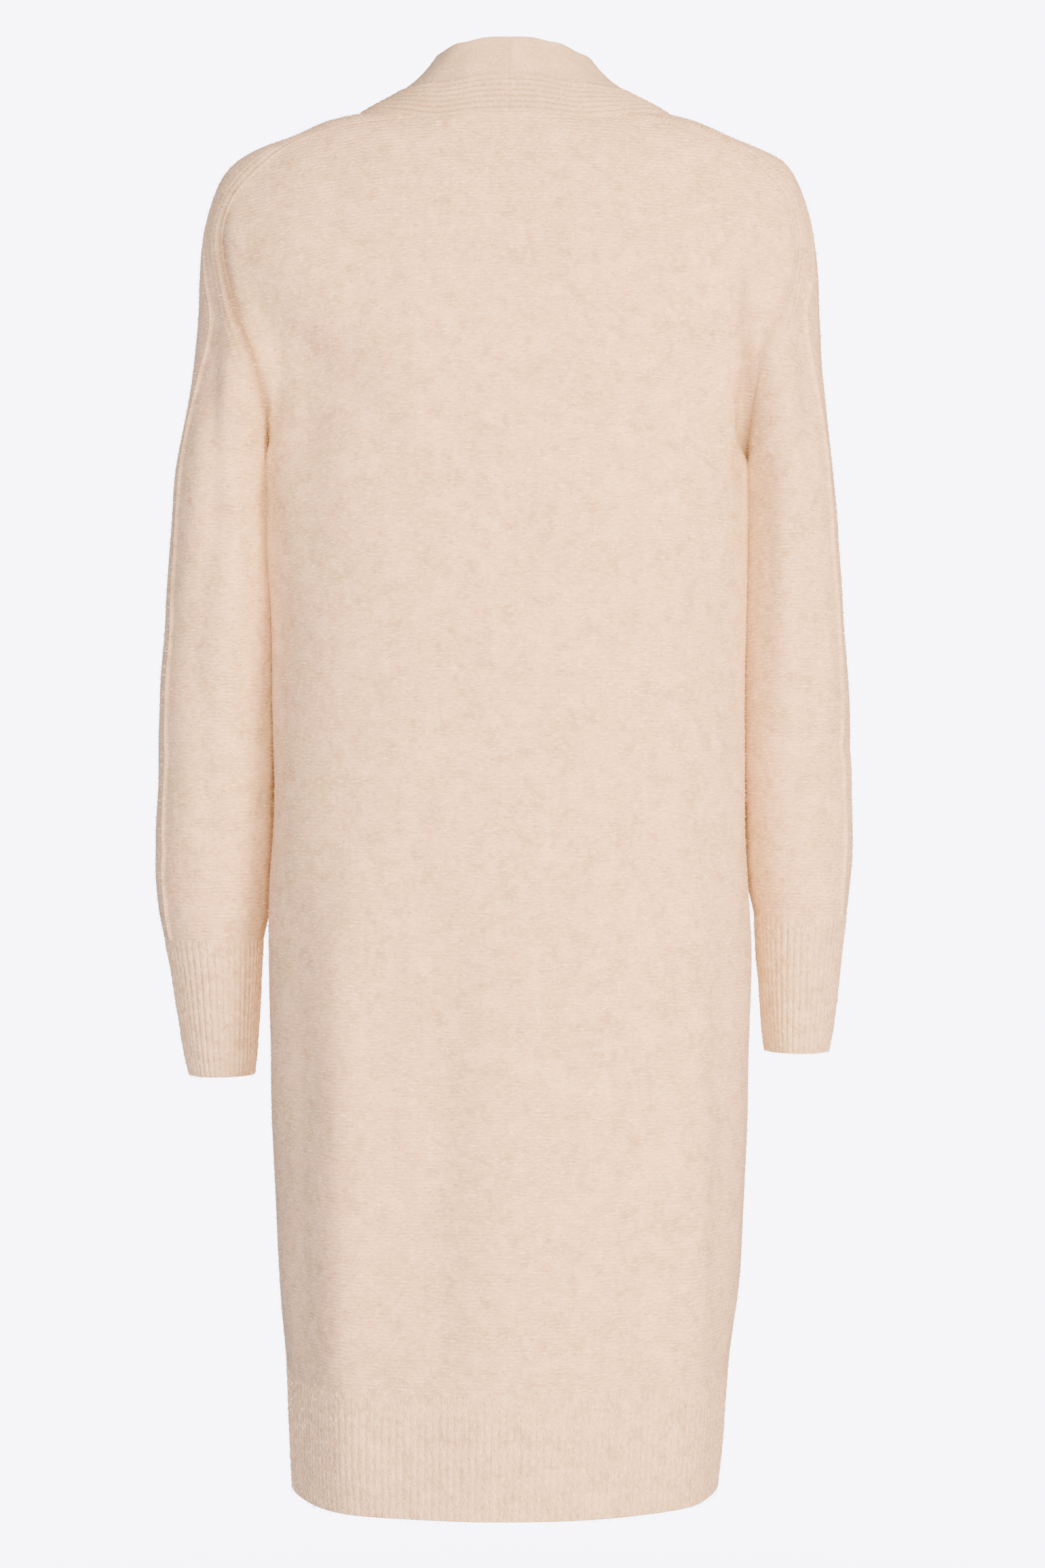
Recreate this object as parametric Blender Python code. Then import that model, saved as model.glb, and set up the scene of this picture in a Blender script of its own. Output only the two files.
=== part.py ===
"""Duster cardigan in a brushed knit, in its worn shape with no wearer.

The tables hold millimetres and the meshes metres. +Z is up, the back faces +Y and the wearer's left is +X.
The origin lies between the shoulders, at the height where the band is sewn to the neck.
Each piece is one wall. Its outer side follows sections worked out from the tables, its inner side lies one
thickness inside, and it stops half a seam gap short of each line that it shares with a neighbour.
"""
import math
from collections import namedtuple

import bmesh
import bpy
from mathutils import Vector

MM = 0.001

WALL = 2.4
BAND_WALL = 2.8
SEAM_GAP = 0.3
HEM_TOP = -885.0
HEM_EDGE = -971.0
LEFT, RIGHT = 1, -1

# Sleeve sections from the neck to the underarm, the same on both sides. A section starts at its top, the
# outermost point, and turns round the back and the front until it meets the seams of the back and front.
# A turn of 90 degrees ends at the deepest point and 180 degrees ends under the arm.
# spread widens the left sleeve and narrows the right one, forward moves a section towards the front,
# and drop lowers the left sleeve and raises the right one.
Section = namedtuple(
    "Section",
    "top_x top_z back_x back_z back_depth back_turn front_x front_z front_depth front_turn forward spread drop",
)
SHOULDER = [
    Section(111, 7, 64, -3, 56, 63, 96, 3, 40, 53, 0, -4, 0),
    Section(134, 0.7, 112, -7.5, 50, 62, 117, -6, 47, 56, 0, -2.2, 0),
    Section(158, -10, 137, -14.5, 48, 61, 139, -14.5, 49, 59, 0, -1.8, 0),
    Section(180, -18.7, 156, -23, 47, 59, 157, -24, 50, 60, 0, -1.4, 0),
    Section(195, -27, 172, -36, 48, 57, 172, -37, 51, 59, 0, -1, 0),
    Section(205, -39, 186, -50, 51, 54, 185, -51, 53, 57, 0, 0, 0),
    Section(212, -56, 196, -65, 55, 50, 194, -67, 56, 54, 0, 0, 0),
    Section(218, -80, 201.5, -84, 59, 47, 199, -87, 60, 52, 0, 0, 0),
    Section(221, -110, 199.5, -108, 63, 53, 196, -112, 64, 58, 0, 0, 0),
    Section(222.3, -145, 190.5, -140, 66, 66, 188, -143, 66, 70, 0, 0, 0),
    Section(225, -180, 177.5, -170, 67, 95, 177.5, -172, 67, 97, 0, 0.7, 0),
    Section(228.5, -207, 171.5, -199, 67, 125, 171.5, -200, 67, 127, 0, 1.7, 0),
    Section(232, -232, 169, -228, 66, 150, 169, -228, 66, 150, 0, 2.7, 0),
    Section(235, -255, 168, -255, 65, 180, 168, -255, 65, 180, 0, 3.3, 0),
]
UNDERARM = len(SHOULDER) - 1

# Sleeve and cuff below the underarm. outer and inner are the sides away from and next to the body.
Arm = namedtuple("Arm", "height outer inner back_depth front_depth forward spread drop")
SLEEVE = [
    Arm(-290, 238.3, 168, 63.5, 63.5, 6, 3.3, 0.5),
    Arm(-345, 242.8, 167.4, 61, 61, 12, 3.3, 2),
    Arm(-404, 247.5, 167.5, 58, 58, 18, 3.3, 4),
    Arm(-463, 249.5, 167.9, 55, 55, 22, 3.4, 6),
    Arm(-515, 251.4, 169.2, 52, 52, 25, 4, 7.5),
    Arm(-549, 249.8, 172, 48.5, 48.5, 26, 3.6, 8.5),
    Arm(-573, 246.2, 177.2, 44.5, 44.5, 27, 2.4, 8.5),
]
CUFF = [
    SLEEVE[-1],
    Arm(-598, 241.6, 179, 42.5, 42.5, 28, 1.6, 8.5),
    Arm(-631, 237.6, 181.2, 40, 40, 29, 0.8, 8.5),
    Arm(-656, 234, 183, 37, 37, 30, 0.4, 8.5),
    Arm(-671, 231, 185, 34.5, 34.5, 31, 0, 8.5),
]

# The body below the underarm. back is the depth at the centre back, front the depth at the band's seam,
# roundness squares the corners of a section as it grows, and sway moves it towards the wearer's left.
Body = namedtuple("Body", "height half_width back front roundness sway")
BODY = [
    Body(-255, 168, 104, 101, 0.76, 0),
    Body(-290, 167, 103, 101, 0.76, 0),
    Body(-345, 166.5, 101, 100, 0.76, 0),
    Body(-420, 166.5, 101, 99, 0.75, 0),
    Body(-500, 168, 105, 102, 0.74, -0.3),
    Body(-545, 170.3, 108, 104, 0.73, -0.6),
    Body(-595, 172.3, 111, 106, 0.72, -0.8),
    Body(-680, 170, 116, 111, 0.7, -0.5),
    Body(-770, 167, 120, 116, 0.67, -0.6),
    Body(-835, 162.8, 122, 119, 0.65, 0.2),
    Body(HEM_TOP, 157.8, 123, 120, 0.63, 1),
    Body(-928, 154.8, 124, 121, 0.62, 1.9),
    Body(HEM_EDGE, 151.8, 122.5, 120, 0.61, 2.9),
]
HEM_ROW = next(i for i, row in enumerate(BODY) if row.height == HEM_TOP)

# Depth of the centre back above the underarm, and place of the front edge, where the band is sewn on.
BackRise = namedtuple("BackRise", "height depth")
BACK_RISE = [
    BackRise(-1.5, 58), BackRise(-20, 67.5), BackRise(-45, 78), BackRise(-75, 87.5), BackRise(-110, 95.5),
    BackRise(-150, 101), BackRise(-200, 104), BackRise(-255, 104),
]
FrontEdge = namedtuple("FrontEdge", "height across depth")
FRONT_EDGE = [
    FrontEdge(-10, 80, 50), FrontEdge(-28, 79.5, 60), FrontEdge(-50, 79, 69.5), FrontEdge(-80, 79, 79.5),
    FrontEdge(-120, 79, 89), FrontEdge(-170, 79, 96.5), FrontEdge(-255, 79, 101),
]
BAND_SEAM_X = 79.0

# Steps from the seam of the band to its free edge, by the distance along the seam from the centre back.
# hollow is how far the band sinks between them, two thirds of the way up.
BandStep = namedtuple("BandStep", "distance across deep up hollow")
BAND_STEPS = [
    BandStep(0, 0, -13, 56, 0), BandStep(32, -12, -15, 57, 1), BandStep(64, -29, -14, 55.5, 3),
    BandStep(98, -44, -12, 45.5, 5), BandStep(132, -54, -4, 38.5, 5.5), BandStep(167, -48, -10, 27, 4),
    BandStep(195, -45, -18, 20, 1.5), BandStep(229, -50, -20, 10, 0), BandStep(271, -56, -13, 3, 0),
    BandStep(333, -58, -7, 0, 0), BandStep(420, -58, -5, 0, 0), BandStep(1300, -58, -5, 0, 0),
]
BAND_RIBS = 7
BAND_RIB_PITCH = 4.3
BAND_WIDTH = 58.0
BAND_SMOOTH_STEPS = 3

CUFF_RIBS = 46
BACK_HEM_RIBS = 88
FRONT_HEM_RIBS = 26
RIB_RISE = 0.9
RIB_SINK = 0.35

FASHION_RIBS = 3
FASHION_PITCH = 5.4
FASHION_RISE = 0.8
FASHION_FADE = (9, 12)
WALE_TURN = 38
WALE_HALF_WIDTH = 2.2
WALE_RISE = 1.0
WALE_START = (5, 9)

FRONT_STEPS = 6
BACK_STEPS = 6
BACK_COLUMNS = 18
FRONT_COLUMNS = 6
EASING = 6
FINE = 96
CENTRE_FLATNESS = 0.62
SHOULDER_PULL = 0.33
FRONT_TURN_IN = Vector((-1.0, -0.16, 0.0))

# Where two pieces meet at less than the first angle, their ends share one mitre. Beyond the second angle,
# in the fold under the arm, each keeps its own.
MITRE_ANGLES = (25, 50)

SHARP_ANGLE = math.radians(45)
WOOL = (0.83, 0.69, 0.57)


def interpolate(table, place):
    """Values of a table, whose first column is the place, on a smooth line through its rows."""
    rows = sorted(table)
    last = len(rows) - 1
    k = next((i for i in range(last) if place <= rows[i + 1][0]), last - 1)
    before, start, end, after = (rows[min(max(k + step, 0), last)] for step in (-1, 0, 1, 2))
    width = end[0] - start[0]
    t = min(max((place - start[0]) / width, 0.0), 1.0)
    values = []
    for column in range(1, len(start)):
        slope_in = (end[column] - before[column]) / (end[0] - before[0])
        slope_out = (after[column] - start[column]) / (after[0] - start[0])
        values.append(
            (2 * t**3 - 3 * t**2 + 1) * start[column] + (t**3 - 2 * t**2 + t) * width * slope_in
            + (3 * t**2 - 2 * t**3) * end[column] + (t**3 - t**2) * width * slope_out
        )
    return values


def bezier(start, start_pull, end_pull, end):
    """Fine points of a cubic curve."""
    points = []
    for step in range(FINE + 1):
        t = step / FINE
        s = 1 - t
        points.append(start * s**3 + start_pull * 3 * s * s * t + end_pull * 3 * s * t * t + end * t**3)
    return points


def lengths(points):
    """Distance of each point along its line."""
    total = [0.0]
    for a, b in zip(points, points[1:]):
        total.append(total[-1] + (b - a).length)
    return total


def at_distances(points, distances):
    """Points at the given distances along a fine line. The ends stay exact."""
    marks = lengths(points)
    found = []
    k = 0
    for distance in distances:
        while k < len(points) - 2 and marks[k + 1] < distance:
            k += 1
        share = (distance - marks[k]) / (marks[k + 1] - marks[k])
        found.append(points[k].lerp(points[k + 1], min(max(share, 0.0), 1.0)))
    found[0], found[-1] = points[0].copy(), points[-1].copy()
    return found


def evenly(points, count):
    """The line in count equal steps."""
    total = lengths(points)[-1]
    return at_distances(points, [total * i / count for i in range(count + 1)])


def mirrored(grid):
    """The same piece on the other side, with its columns turned round so that it still faces out."""
    return [[Vector((-p.x, p.y, p.z)) for p in reversed(row)] for row in grid]


def sleeve_sections(side):
    """All sections of one sleeve and its cuff, with that side's spread and drop."""
    rows = []
    for row in SHOULDER:
        rows.append(row._replace(top_x=row.top_x + side * row.spread))
    for arm in SLEEVE + CUFF[1:]:
        height = arm.height - side * arm.drop
        outer = arm.outer + side * arm.spread
        rows.append(Section(
            outer, height, arm.inner, height, arm.back_depth, 180, arm.inner, height, arm.front_depth, 180,
            arm.forward, 0, 0,
        ))
    return rows


def section_line(row):
    """Fine points of a section, from the front seam over the top to the back seam."""
    top = Vector((row.top_x, -row.forward, row.top_z))
    points = []
    halves = (
        (row.front_x, row.front_z, -row.front_depth, row.front_turn, range(FINE, 0, -1)),
        (row.back_x, row.back_z, row.back_depth, row.back_turn, range(FINE + 1)),
    )
    for x, z, depth, turn, steps in halves:
        across = Vector((x - row.top_x, 0, z - row.top_z))
        whole = 1 - math.cos(math.radians(turn))
        for step in steps:
            angle = math.radians(turn) * step / FINE
            points.append(top + across * ((1 - math.cos(angle)) / whole) + Vector((0, depth * math.sin(angle), 0)))
    return points


def seam_pull(row, back):
    """Direction in which the body leaves the seam: on with the sleeve, and back out of the underarm fold."""
    x, z, depth, turn = (
        (row.back_x, row.back_z, row.back_depth, row.back_turn) if back
        else (row.front_x, row.front_z, row.front_depth, row.front_turn)
    )
    angle = math.radians(turn)
    inward = Vector((x - row.top_x, 0, z - row.top_z)) * (math.sin(angle) / (1 - math.cos(angle)))
    outward = depth * abs(math.cos(angle)) * (1 if back else -1)
    return (inward + Vector((0, outward, 0))).normalized()


def body_line(seam, pull, middle, middle_pull, roundness):
    """Fine points from a side seam round to the middle of the back, or to the front edge."""
    deep = pull.y * pull.y
    reach_x, reach_y = abs(seam.x - middle.x), abs(seam.y - middle.y)
    first = roundness * reach_y * deep + SHOULDER_PULL * reach_x * (1 - deep)
    second = CENTRE_FLATNESS * reach_x
    return bezier(seam, seam + pull * first, middle - middle_pull * second, middle)


def side_rows():
    """Seam points and pulls, centre back, front edge and roundness of each section, on the left."""
    rows = []
    upper = sleeve_sections(0)[:UNDERARM]
    for i, row in enumerate(upper):
        line = section_line(row)
        share = i / UNDERARM
        height = BACK_RISE[0].height * (1 - share) + BODY[0].height * share
        back = Vector((0, interpolate(BACK_RISE, height)[0], height))
        height = FRONT_EDGE[0].height * (1 - share) + BODY[0].height * share
        across, depth = interpolate(FRONT_EDGE, height)
        edge = Vector((across, -depth, height))
        pulls = seam_pull(row, True), seam_pull(row, False)
        rows.append(((line[-1], line[0]), pulls, back, edge, BODY[0].roundness))
    for row in BODY:
        seam = Vector((row.half_width, 0, row.height))
        back = Vector((0, row.back, row.height))
        edge = Vector((BAND_SEAM_X, -row.front, row.height))
        rows.append(((seam, seam), (Vector((0, 1, 0)), Vector((0, -1, 0))), back, edge, row.roundness))
    return rows


def swayed(grid, first_row):
    """The body's rows, moved by the sway of their section."""
    moved = []
    for i, row in enumerate(grid):
        k = first_row + i - UNDERARM
        sway = BODY[k].sway if k >= 0 else 0
        moved.append([p + Vector((sway, 0, 0)) for p in row])
    return moved


def body_grids(first_row, last_row, back_columns, front_columns):
    """Plain outer sides of the back, left front and right front between two rows, facing out."""
    back, left = [], []
    for seams, pulls, middle, edge, roundness in side_rows()[first_row:last_row + 1]:
        line = body_line(seams[0], pulls[0], middle, Vector((-1, 0, 0)), roundness)
        half = evenly(line, back_columns // 2)
        back.append(half + [Vector((-p.x, p.y, p.z)) for p in reversed(half[:-1])])
        line = body_line(seams[1], pulls[1], edge, FRONT_TURN_IN.normalized(), roundness)
        left.append(evenly(line, front_columns)[::-1])
    if first_row == 0:
        eased(back)
        eased(left)
    return swayed(back, first_row), swayed(left, first_row), swayed(mirrored(left), first_row)


def eased(grid):
    """Smooth out small steps in depth from row to row, away from the seams."""
    for _ in range(EASING):
        depths = [[p.y for p in row] for row in grid]
        for r in range(1, len(grid) - 1):
            for c in range(1, len(grid[0]) - 1):
                above, here, below = grid[r - 1][c], grid[r][c], grid[r + 1][c]
                share = (above.z - here.z) / (above.z - below.z)
                line = depths[r - 1][c] * (1 - share) + depths[r + 1][c] * share
                here.y += (line - depths[r][c]) / 2


def spaced(marks, start, end, count):
    """Distances from start to end, closer together where the section turns faster."""
    first = next(i for i, mark in enumerate(marks) if mark >= start)
    last = next(i for i, mark in enumerate(marks) if mark >= end)
    steps = [first + (last - first) * k / count for k in range(1, count)]
    return [start] + [marks[int(step)] for step in steps] + [end]


def sleeve_grid(side):
    """Plain outer side of a sleeve, with columns for its fashioning ribs and its raised wale."""
    edge = [FASHION_PITCH / 2 * i for i in range(2 * FASHION_RIBS + 1)]
    grid = []
    for row in sleeve_sections(side)[:len(SHOULDER) + len(SLEEVE)]:
        line = section_line(row)
        marks = lengths(line)
        total = marks[-1]
        wale = marks[FINE + int(FINE * min(WALE_TURN / row.back_turn, 1))]
        wale = min(wale, total - edge[-1] - 3 * WALE_HALF_WIDTH)
        before = spaced(marks, edge[-1], wale - WALE_HALF_WIDTH, FRONT_STEPS)
        after = spaced(marks, wale + WALE_HALF_WIDTH, total - edge[-1], BACK_STEPS)
        places = edge[:-1] + before + [wale] + after + [total - place for place in reversed(edge[:-1])]
        grid.append(at_distances(line, places))
    return grid if side == LEFT else mirrored(grid)


def sleeve_rises(grid, side):
    """How far a sleeve's outer points are raised: fashioning ribs at both seams and the wale."""
    last = len(grid[0]) - 1
    wale = 2 * FASHION_RIBS + FRONT_STEPS + 1
    wale = wale if side == LEFT else last - wale
    rises = []
    for row in range(len(grid)):
        line = [0.0] * (last + 1)
        for rib in range(1, 2 * FASHION_RIBS, 2):
            line[rib] = line[last - rib] = FASHION_RISE * fade(row, *FASHION_FADE)
        line[wale] = WALE_RISE * (1 - fade(row, *WALE_START))
        rises.append(line)
    return rises


def ribbing_rises(grid):
    """Upright ribs of a cuff or hem: crests on odd columns and troughs between them."""
    return [[RIB_RISE if column % 2 else -RIB_SINK for column in range(len(row))] for row in grid]


def band_rises(grid):
    """Ribs along the sewn edge of the band, on every second row from the seam."""
    from_seam = range(len(grid) - 1, -1, -1)
    return [[RIB_RISE if k % 2 and k < 2 * BAND_RIBS else 0.0] * len(row) for k, row in zip(from_seam, grid)]


def plain_rises(grid):
    """A smooth piece."""
    return [[0.0] * len(row) for row in grid]


def fade(value, start, end):
    """From one down to nothing between two values."""
    return 1 - min(max((value - start) / (end - start), 0.0), 1.0)


def cuff_grid(side):
    """Plain outer side of a cuff, two columns to a rib."""
    rows = sleeve_sections(side)[UNDERARM + len(SLEEVE):]
    grid = [evenly(section_line(row), 2 * CUFF_RIBS) for row in rows]
    return grid if side == LEFT else mirrored(grid)


def band_grid(side, seam_line):
    """Plain outer side of half the band, from its free edge to its seam. The seam runs from the centre back."""
    ribs = [BAND_RIB_PITCH / 2 * i for i in range(2 * BAND_RIBS + 1)]
    smooth = (BAND_WIDTH - ribs[-1]) / BAND_SMOOTH_STEPS
    places = ribs + [ribs[-1] + smooth * i for i in range(1, BAND_SMOOTH_STEPS + 1)]
    rows = [[] for _ in places]
    for point, distance in zip(seam_line, lengths(seam_line)):
        across, deep, up, hollow = interpolate(BAND_STEPS, distance)
        step = Vector((side * across, deep, up))
        for row, place in zip(rows, places):
            share = place / BAND_WIDTH
            sink = 6.75 * hollow * share * share * (1 - share)
            row.append(point + step * share - Vector((0, 0, sink)))
    rows.reverse()
    return [row[::-1] for row in rows] if side == LEFT else rows


def grid_normals(grid):
    """Outward direction at each point of one grid."""
    rows, columns = len(grid), len(grid[0])
    normals = [[Vector() for _ in range(columns)] for _ in range(rows)]
    for r in range(rows - 1):
        for c in range(columns - 1):
            down = grid[r + 1][c] - grid[r][c] + grid[r + 1][c + 1] - grid[r][c + 1]
            along = grid[r][c + 1] - grid[r][c] + grid[r + 1][c + 1] - grid[r + 1][c]
            face = down.cross(along).normalized()
            for i, k in ((r, c), (r + 1, c), (r, c + 1), (r + 1, c + 1)):
                normals[i][k] += face
    return [[normal.normalized() for normal in row] for row in normals]


def place_key(point):
    """The same key for points of two pieces that share a seam."""
    return tuple(round(value, 3) for value in point)


def group_of(name):
    """Pieces that lie in one surface: the body, each sleeve with its cuff, and the band."""
    if name.startswith(("sleeve", "cuff")):
        return name.split("_")[-1]
    return "band" if name.startswith("band") else "body"


def shared_normals(grids, level_seams):
    """Two directions at each point: across the seams there, and out of the piece's own surface.

    Both are averaged over the pieces that meet, so that their ends are parallel. At a level seam, between a
    piece and its ribbing, they are level.
    """
    sums = {}
    for name, grid in grids.items():
        for points, normals in zip(grid, grid_normals(grid)):
            for point, normal in zip(points, normals):
                for group in (group_of(name), "all"):
                    key = place_key(point), group
                    sums[key] = sums.get(key, Vector()) + normal
    for key, total in sums.items():
        if any(abs(key[0][2] - height) < 0.01 for height in level_seams):
            total.z = 0
        total.normalize()
    seam, out = {}, {}
    for name, grid in grids.items():
        seam[name] = [[sums[place_key(point), "all"] for point in row] for row in grid]
        out[name] = []
        for row in grid:
            line = []
            for point in row:
                shared = sums[place_key(point), "all"]
                own = sums[place_key(point), group_of(name)]
                keep = fade(math.degrees(shared.angle(own)), *MITRE_ANGLES)
                line.append((shared * keep + own * (1 - keep)).normalized())
            out[name].append(line)
    return seam, out


def border(grid):
    """Row and column of the points round a grid's edge, in order."""
    last_row, last_column = len(grid) - 1, len(grid[0]) - 1
    loop = [(0, c) for c in range(last_column)]
    loop += [(r, last_column) for r in range(last_row)]
    loop += [(last_row, c) for c in range(last_column, 0, -1)]
    loop += [(r, 0) for r in range(last_row, 0, -1)]
    return loop


def drawn_back(grid, normals):
    """Steps that draw a grid's edge back from its seams, mitred at the corners."""
    loop = border(grid)
    inward = []
    for (r, c), (r2, c2) in zip(loop, loop[1:] + loop[:1]):
        along = grid[r2][c2] - grid[r][c]
        inward.append(along.cross(normals[r][c] + normals[r2][c2]).normalized())
    steps = {}
    for k, place in enumerate(loop):
        before, after = inward[k - 1], inward[k]
        steps[place] = (before + after) * (SEAM_GAP / 2 / max(1 + before.dot(after), 0.5))
    return steps


def ladder(bm, outside, inside, outer_line, inner_line):
    """Faces along one edge of a wall, between its outer points and the fewer inner ones beside them."""
    i = k = 0
    while i < len(outer_line) - 1 or k < len(inner_line) - 1:
        start, end = outer_line[i], inner_line[k]
        if step_middle(outer_line, i) <= step_middle(inner_line, k):
            i += 1
            bm.faces.new((outside[start], outside[outer_line[i]], inside[end]))
        else:
            k += 1
            bm.faces.new((outside[start], inside[inner_line[k]], inside[end]))


def step_middle(line, k):
    """Middle of the step after a line's k-th point, counted in rows and columns."""
    return (sum(line[k]) + sum(line[k + 1])) / 2 if k < len(line) - 1 else math.inf


def wall(name, rises, thickness, inner_rows, inner_columns):
    """A closed wall: the grid with its raised points outside, and a plain inside with fewer points."""
    grid, normals = grids[name], outward[name]
    steps = drawn_back(grid, across_seams[name])
    bm = bmesh.new()
    outside, inside = {}, {}
    for r, row in enumerate(grid):
        for c, point in enumerate(row):
            base = point + steps.get((r, c), Vector())
            outside[r, c] = bm.verts.new((base + normals[r][c] * rises[r][c]) * MM)
            if r in inner_rows and c in inner_columns:
                inside[r, c] = bm.verts.new((base - normals[r][c] * thickness) * MM)
    last_row, last_column = len(grid) - 1, len(grid[0]) - 1
    for r in range(last_row):
        for c in range(last_column):
            bm.faces.new((outside[r, c], outside[r + 1, c], outside[r + 1, c + 1], outside[r, c + 1]))
    for r, r2 in zip(inner_rows, inner_rows[1:]):
        for c, c2 in zip(inner_columns, inner_columns[1:]):
            bm.faces.new((inside[r, c], inside[r, c2], inside[r2, c2], inside[r2, c]))
    rows, columns = range(last_row + 1), range(last_column + 1)
    for r in (0, last_row):
        ladder(bm, outside, inside, [(r, c) for c in columns], [(r, c) for c in inner_columns])
    for c in (0, last_column):
        ladder(bm, outside, inside, [(r, c) for r in rows], [(r, c) for r in inner_rows])
    bmesh.ops.recalc_face_normals(bm, faces=bm.faces)
    mesh = bpy.data.meshes.new(name)
    bm.to_mesh(mesh)
    bm.free()
    mesh.shade_smooth()
    mesh.set_sharp_from_angle(angle=SHARP_ANGLE)
    mesh.materials.append(knit_material(name))
    cardigan.objects.link(bpy.data.objects.new(name, mesh))


def knit_material(name):
    """Brushed wool knit: matt and soft."""
    material = bpy.data.materials.new(name)
    material.use_nodes = True
    shader = material.node_tree.nodes["Principled BSDF"]
    shader.inputs["Base Color"].default_value = (*WOOL, 1)
    shader.inputs["Roughness"].default_value = 0.95
    return material


def every(count, step):
    """Each step-th number below count, with the last one."""
    return sorted(set(range(0, count, step)) | {count - 1})


for old in list(bpy.data.objects):
    bpy.data.objects.remove(old)
cardigan = bpy.data.collections.new("duster_cardigan")
bpy.context.scene.collection.children.link(cardigan)

hem_row = UNDERARM + HEM_ROW
last_row = UNDERARM + len(BODY) - 1
grids = {}
grids["back_panel"], grids["front_left"], grids["front_right"] = body_grids(
    0, hem_row, BACK_COLUMNS, FRONT_COLUMNS)
grids["hem_rib_back"], grids["hem_rib_front_left"], grids["hem_rib_front_right"] = body_grids(
    hem_row, last_row, 2 * BACK_HEM_RIBS, 2 * FRONT_HEM_RIBS)
for side, word in ((LEFT, "left"), (RIGHT, "right")):
    grids["sleeve_" + word] = sleeve_grid(side)
    grids["cuff_" + word] = cuff_grid(side)

# The band's seam follows the edges of the back, the saddles and the fronts, from the centre back down.
for side, word in ((LEFT, "left"), (RIGHT, "right")):
    neck_back = grids["back_panel"][0] if side == RIGHT else grids["back_panel"][0][::-1]
    saddle = grids["sleeve_" + word][0] if side == RIGHT else grids["sleeve_" + word][0][::-1]
    neck_front = grids["front_" + word][0] if side == RIGHT else grids["front_" + word][0][::-1]
    edge_column = 0 if side == LEFT else -1
    edge = [row[edge_column] for row in grids["front_" + word]]
    hem_edge = [row[edge_column] for row in grids["hem_rib_front_" + word]]
    line = neck_back[BACK_COLUMNS // 2:] + saddle[1:] + neck_front[1:] + edge[1:] + hem_edge[1:]
    grids["band_" + word] = band_grid(side, line)

cuff_seams = [sleeve_sections(side)[UNDERARM + len(SLEEVE)].top_z for side in (LEFT, RIGHT)]
across_seams, outward = shared_normals(grids, [HEM_TOP] + cuff_seams)
for name, grid in grids.items():
    rows, columns = len(grid), len(grid[0])
    if name.startswith(("hem", "cuff")):
        wall(name, ribbing_rises(grid), WALL, every(rows, 2), every(columns, 4))
    elif name.startswith("sleeve"):
        side = LEFT if name.endswith("left") else RIGHT
        ribbed = 2 * FASHION_RIBS
        inner_columns = sorted({*range(0, columns, 2), *range(ribbed, columns - ribbed)})
        wall(name, sleeve_rises(grid, side), WALL, range(rows), inner_columns)
    elif name.startswith("band"):
        inner_rows = [0, BAND_SMOOTH_STEPS, (rows + BAND_SMOOTH_STEPS) // 2, rows - 1]
        wall(name, band_rises(grid), BAND_WALL, inner_rows, range(columns))
    else:
        wall(name, plain_rises(grid), WALL, range(rows), range(columns))
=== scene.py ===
"""Duster cardigan in a brushed oatmeal knit, open down the front and filled out as it is when worn.

Tables and grids are in millimetres and meshes in metres. +Z is up, the back faces +Y and the wearer's left
is +X. Every surface is a grid of points: its rows run down the piece and its columns go round the body
against the clock as seen from above, so that the cross product of the two points out of the cloth.
"""
import math
from collections import namedtuple

import bmesh
import bpy
import numpy as np
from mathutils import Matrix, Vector


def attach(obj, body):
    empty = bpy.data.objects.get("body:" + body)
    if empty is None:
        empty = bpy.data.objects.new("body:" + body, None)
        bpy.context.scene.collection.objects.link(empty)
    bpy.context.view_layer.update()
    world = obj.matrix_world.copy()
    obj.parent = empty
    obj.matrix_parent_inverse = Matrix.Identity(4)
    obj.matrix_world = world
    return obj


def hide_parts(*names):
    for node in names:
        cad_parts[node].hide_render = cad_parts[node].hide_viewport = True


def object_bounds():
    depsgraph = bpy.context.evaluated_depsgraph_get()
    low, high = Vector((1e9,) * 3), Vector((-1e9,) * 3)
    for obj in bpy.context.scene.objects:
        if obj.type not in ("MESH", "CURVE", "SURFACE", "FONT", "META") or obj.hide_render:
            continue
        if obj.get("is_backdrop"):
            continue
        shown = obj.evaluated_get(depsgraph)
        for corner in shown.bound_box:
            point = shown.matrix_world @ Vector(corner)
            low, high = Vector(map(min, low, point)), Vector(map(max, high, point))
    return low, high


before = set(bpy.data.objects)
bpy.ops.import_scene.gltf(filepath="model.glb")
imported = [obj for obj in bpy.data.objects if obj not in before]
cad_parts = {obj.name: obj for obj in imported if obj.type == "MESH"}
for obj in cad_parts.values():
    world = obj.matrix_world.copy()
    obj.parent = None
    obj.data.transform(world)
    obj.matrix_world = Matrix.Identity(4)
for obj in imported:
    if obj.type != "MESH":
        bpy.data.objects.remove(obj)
solid_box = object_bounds()

# Back panel
# One piece of plain knit from the neck to the ribbing, in a brushed wool blend that is spun from cream, peach
# and grey fibres. It is linked to the saddles and sleeves at its sides and hangs straight from the shoulders.
MM = 0.001
SECTION_STEPS = 96
ROW_SPACING = 4.5
LEFT, RIGHT = 1, -1

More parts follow.
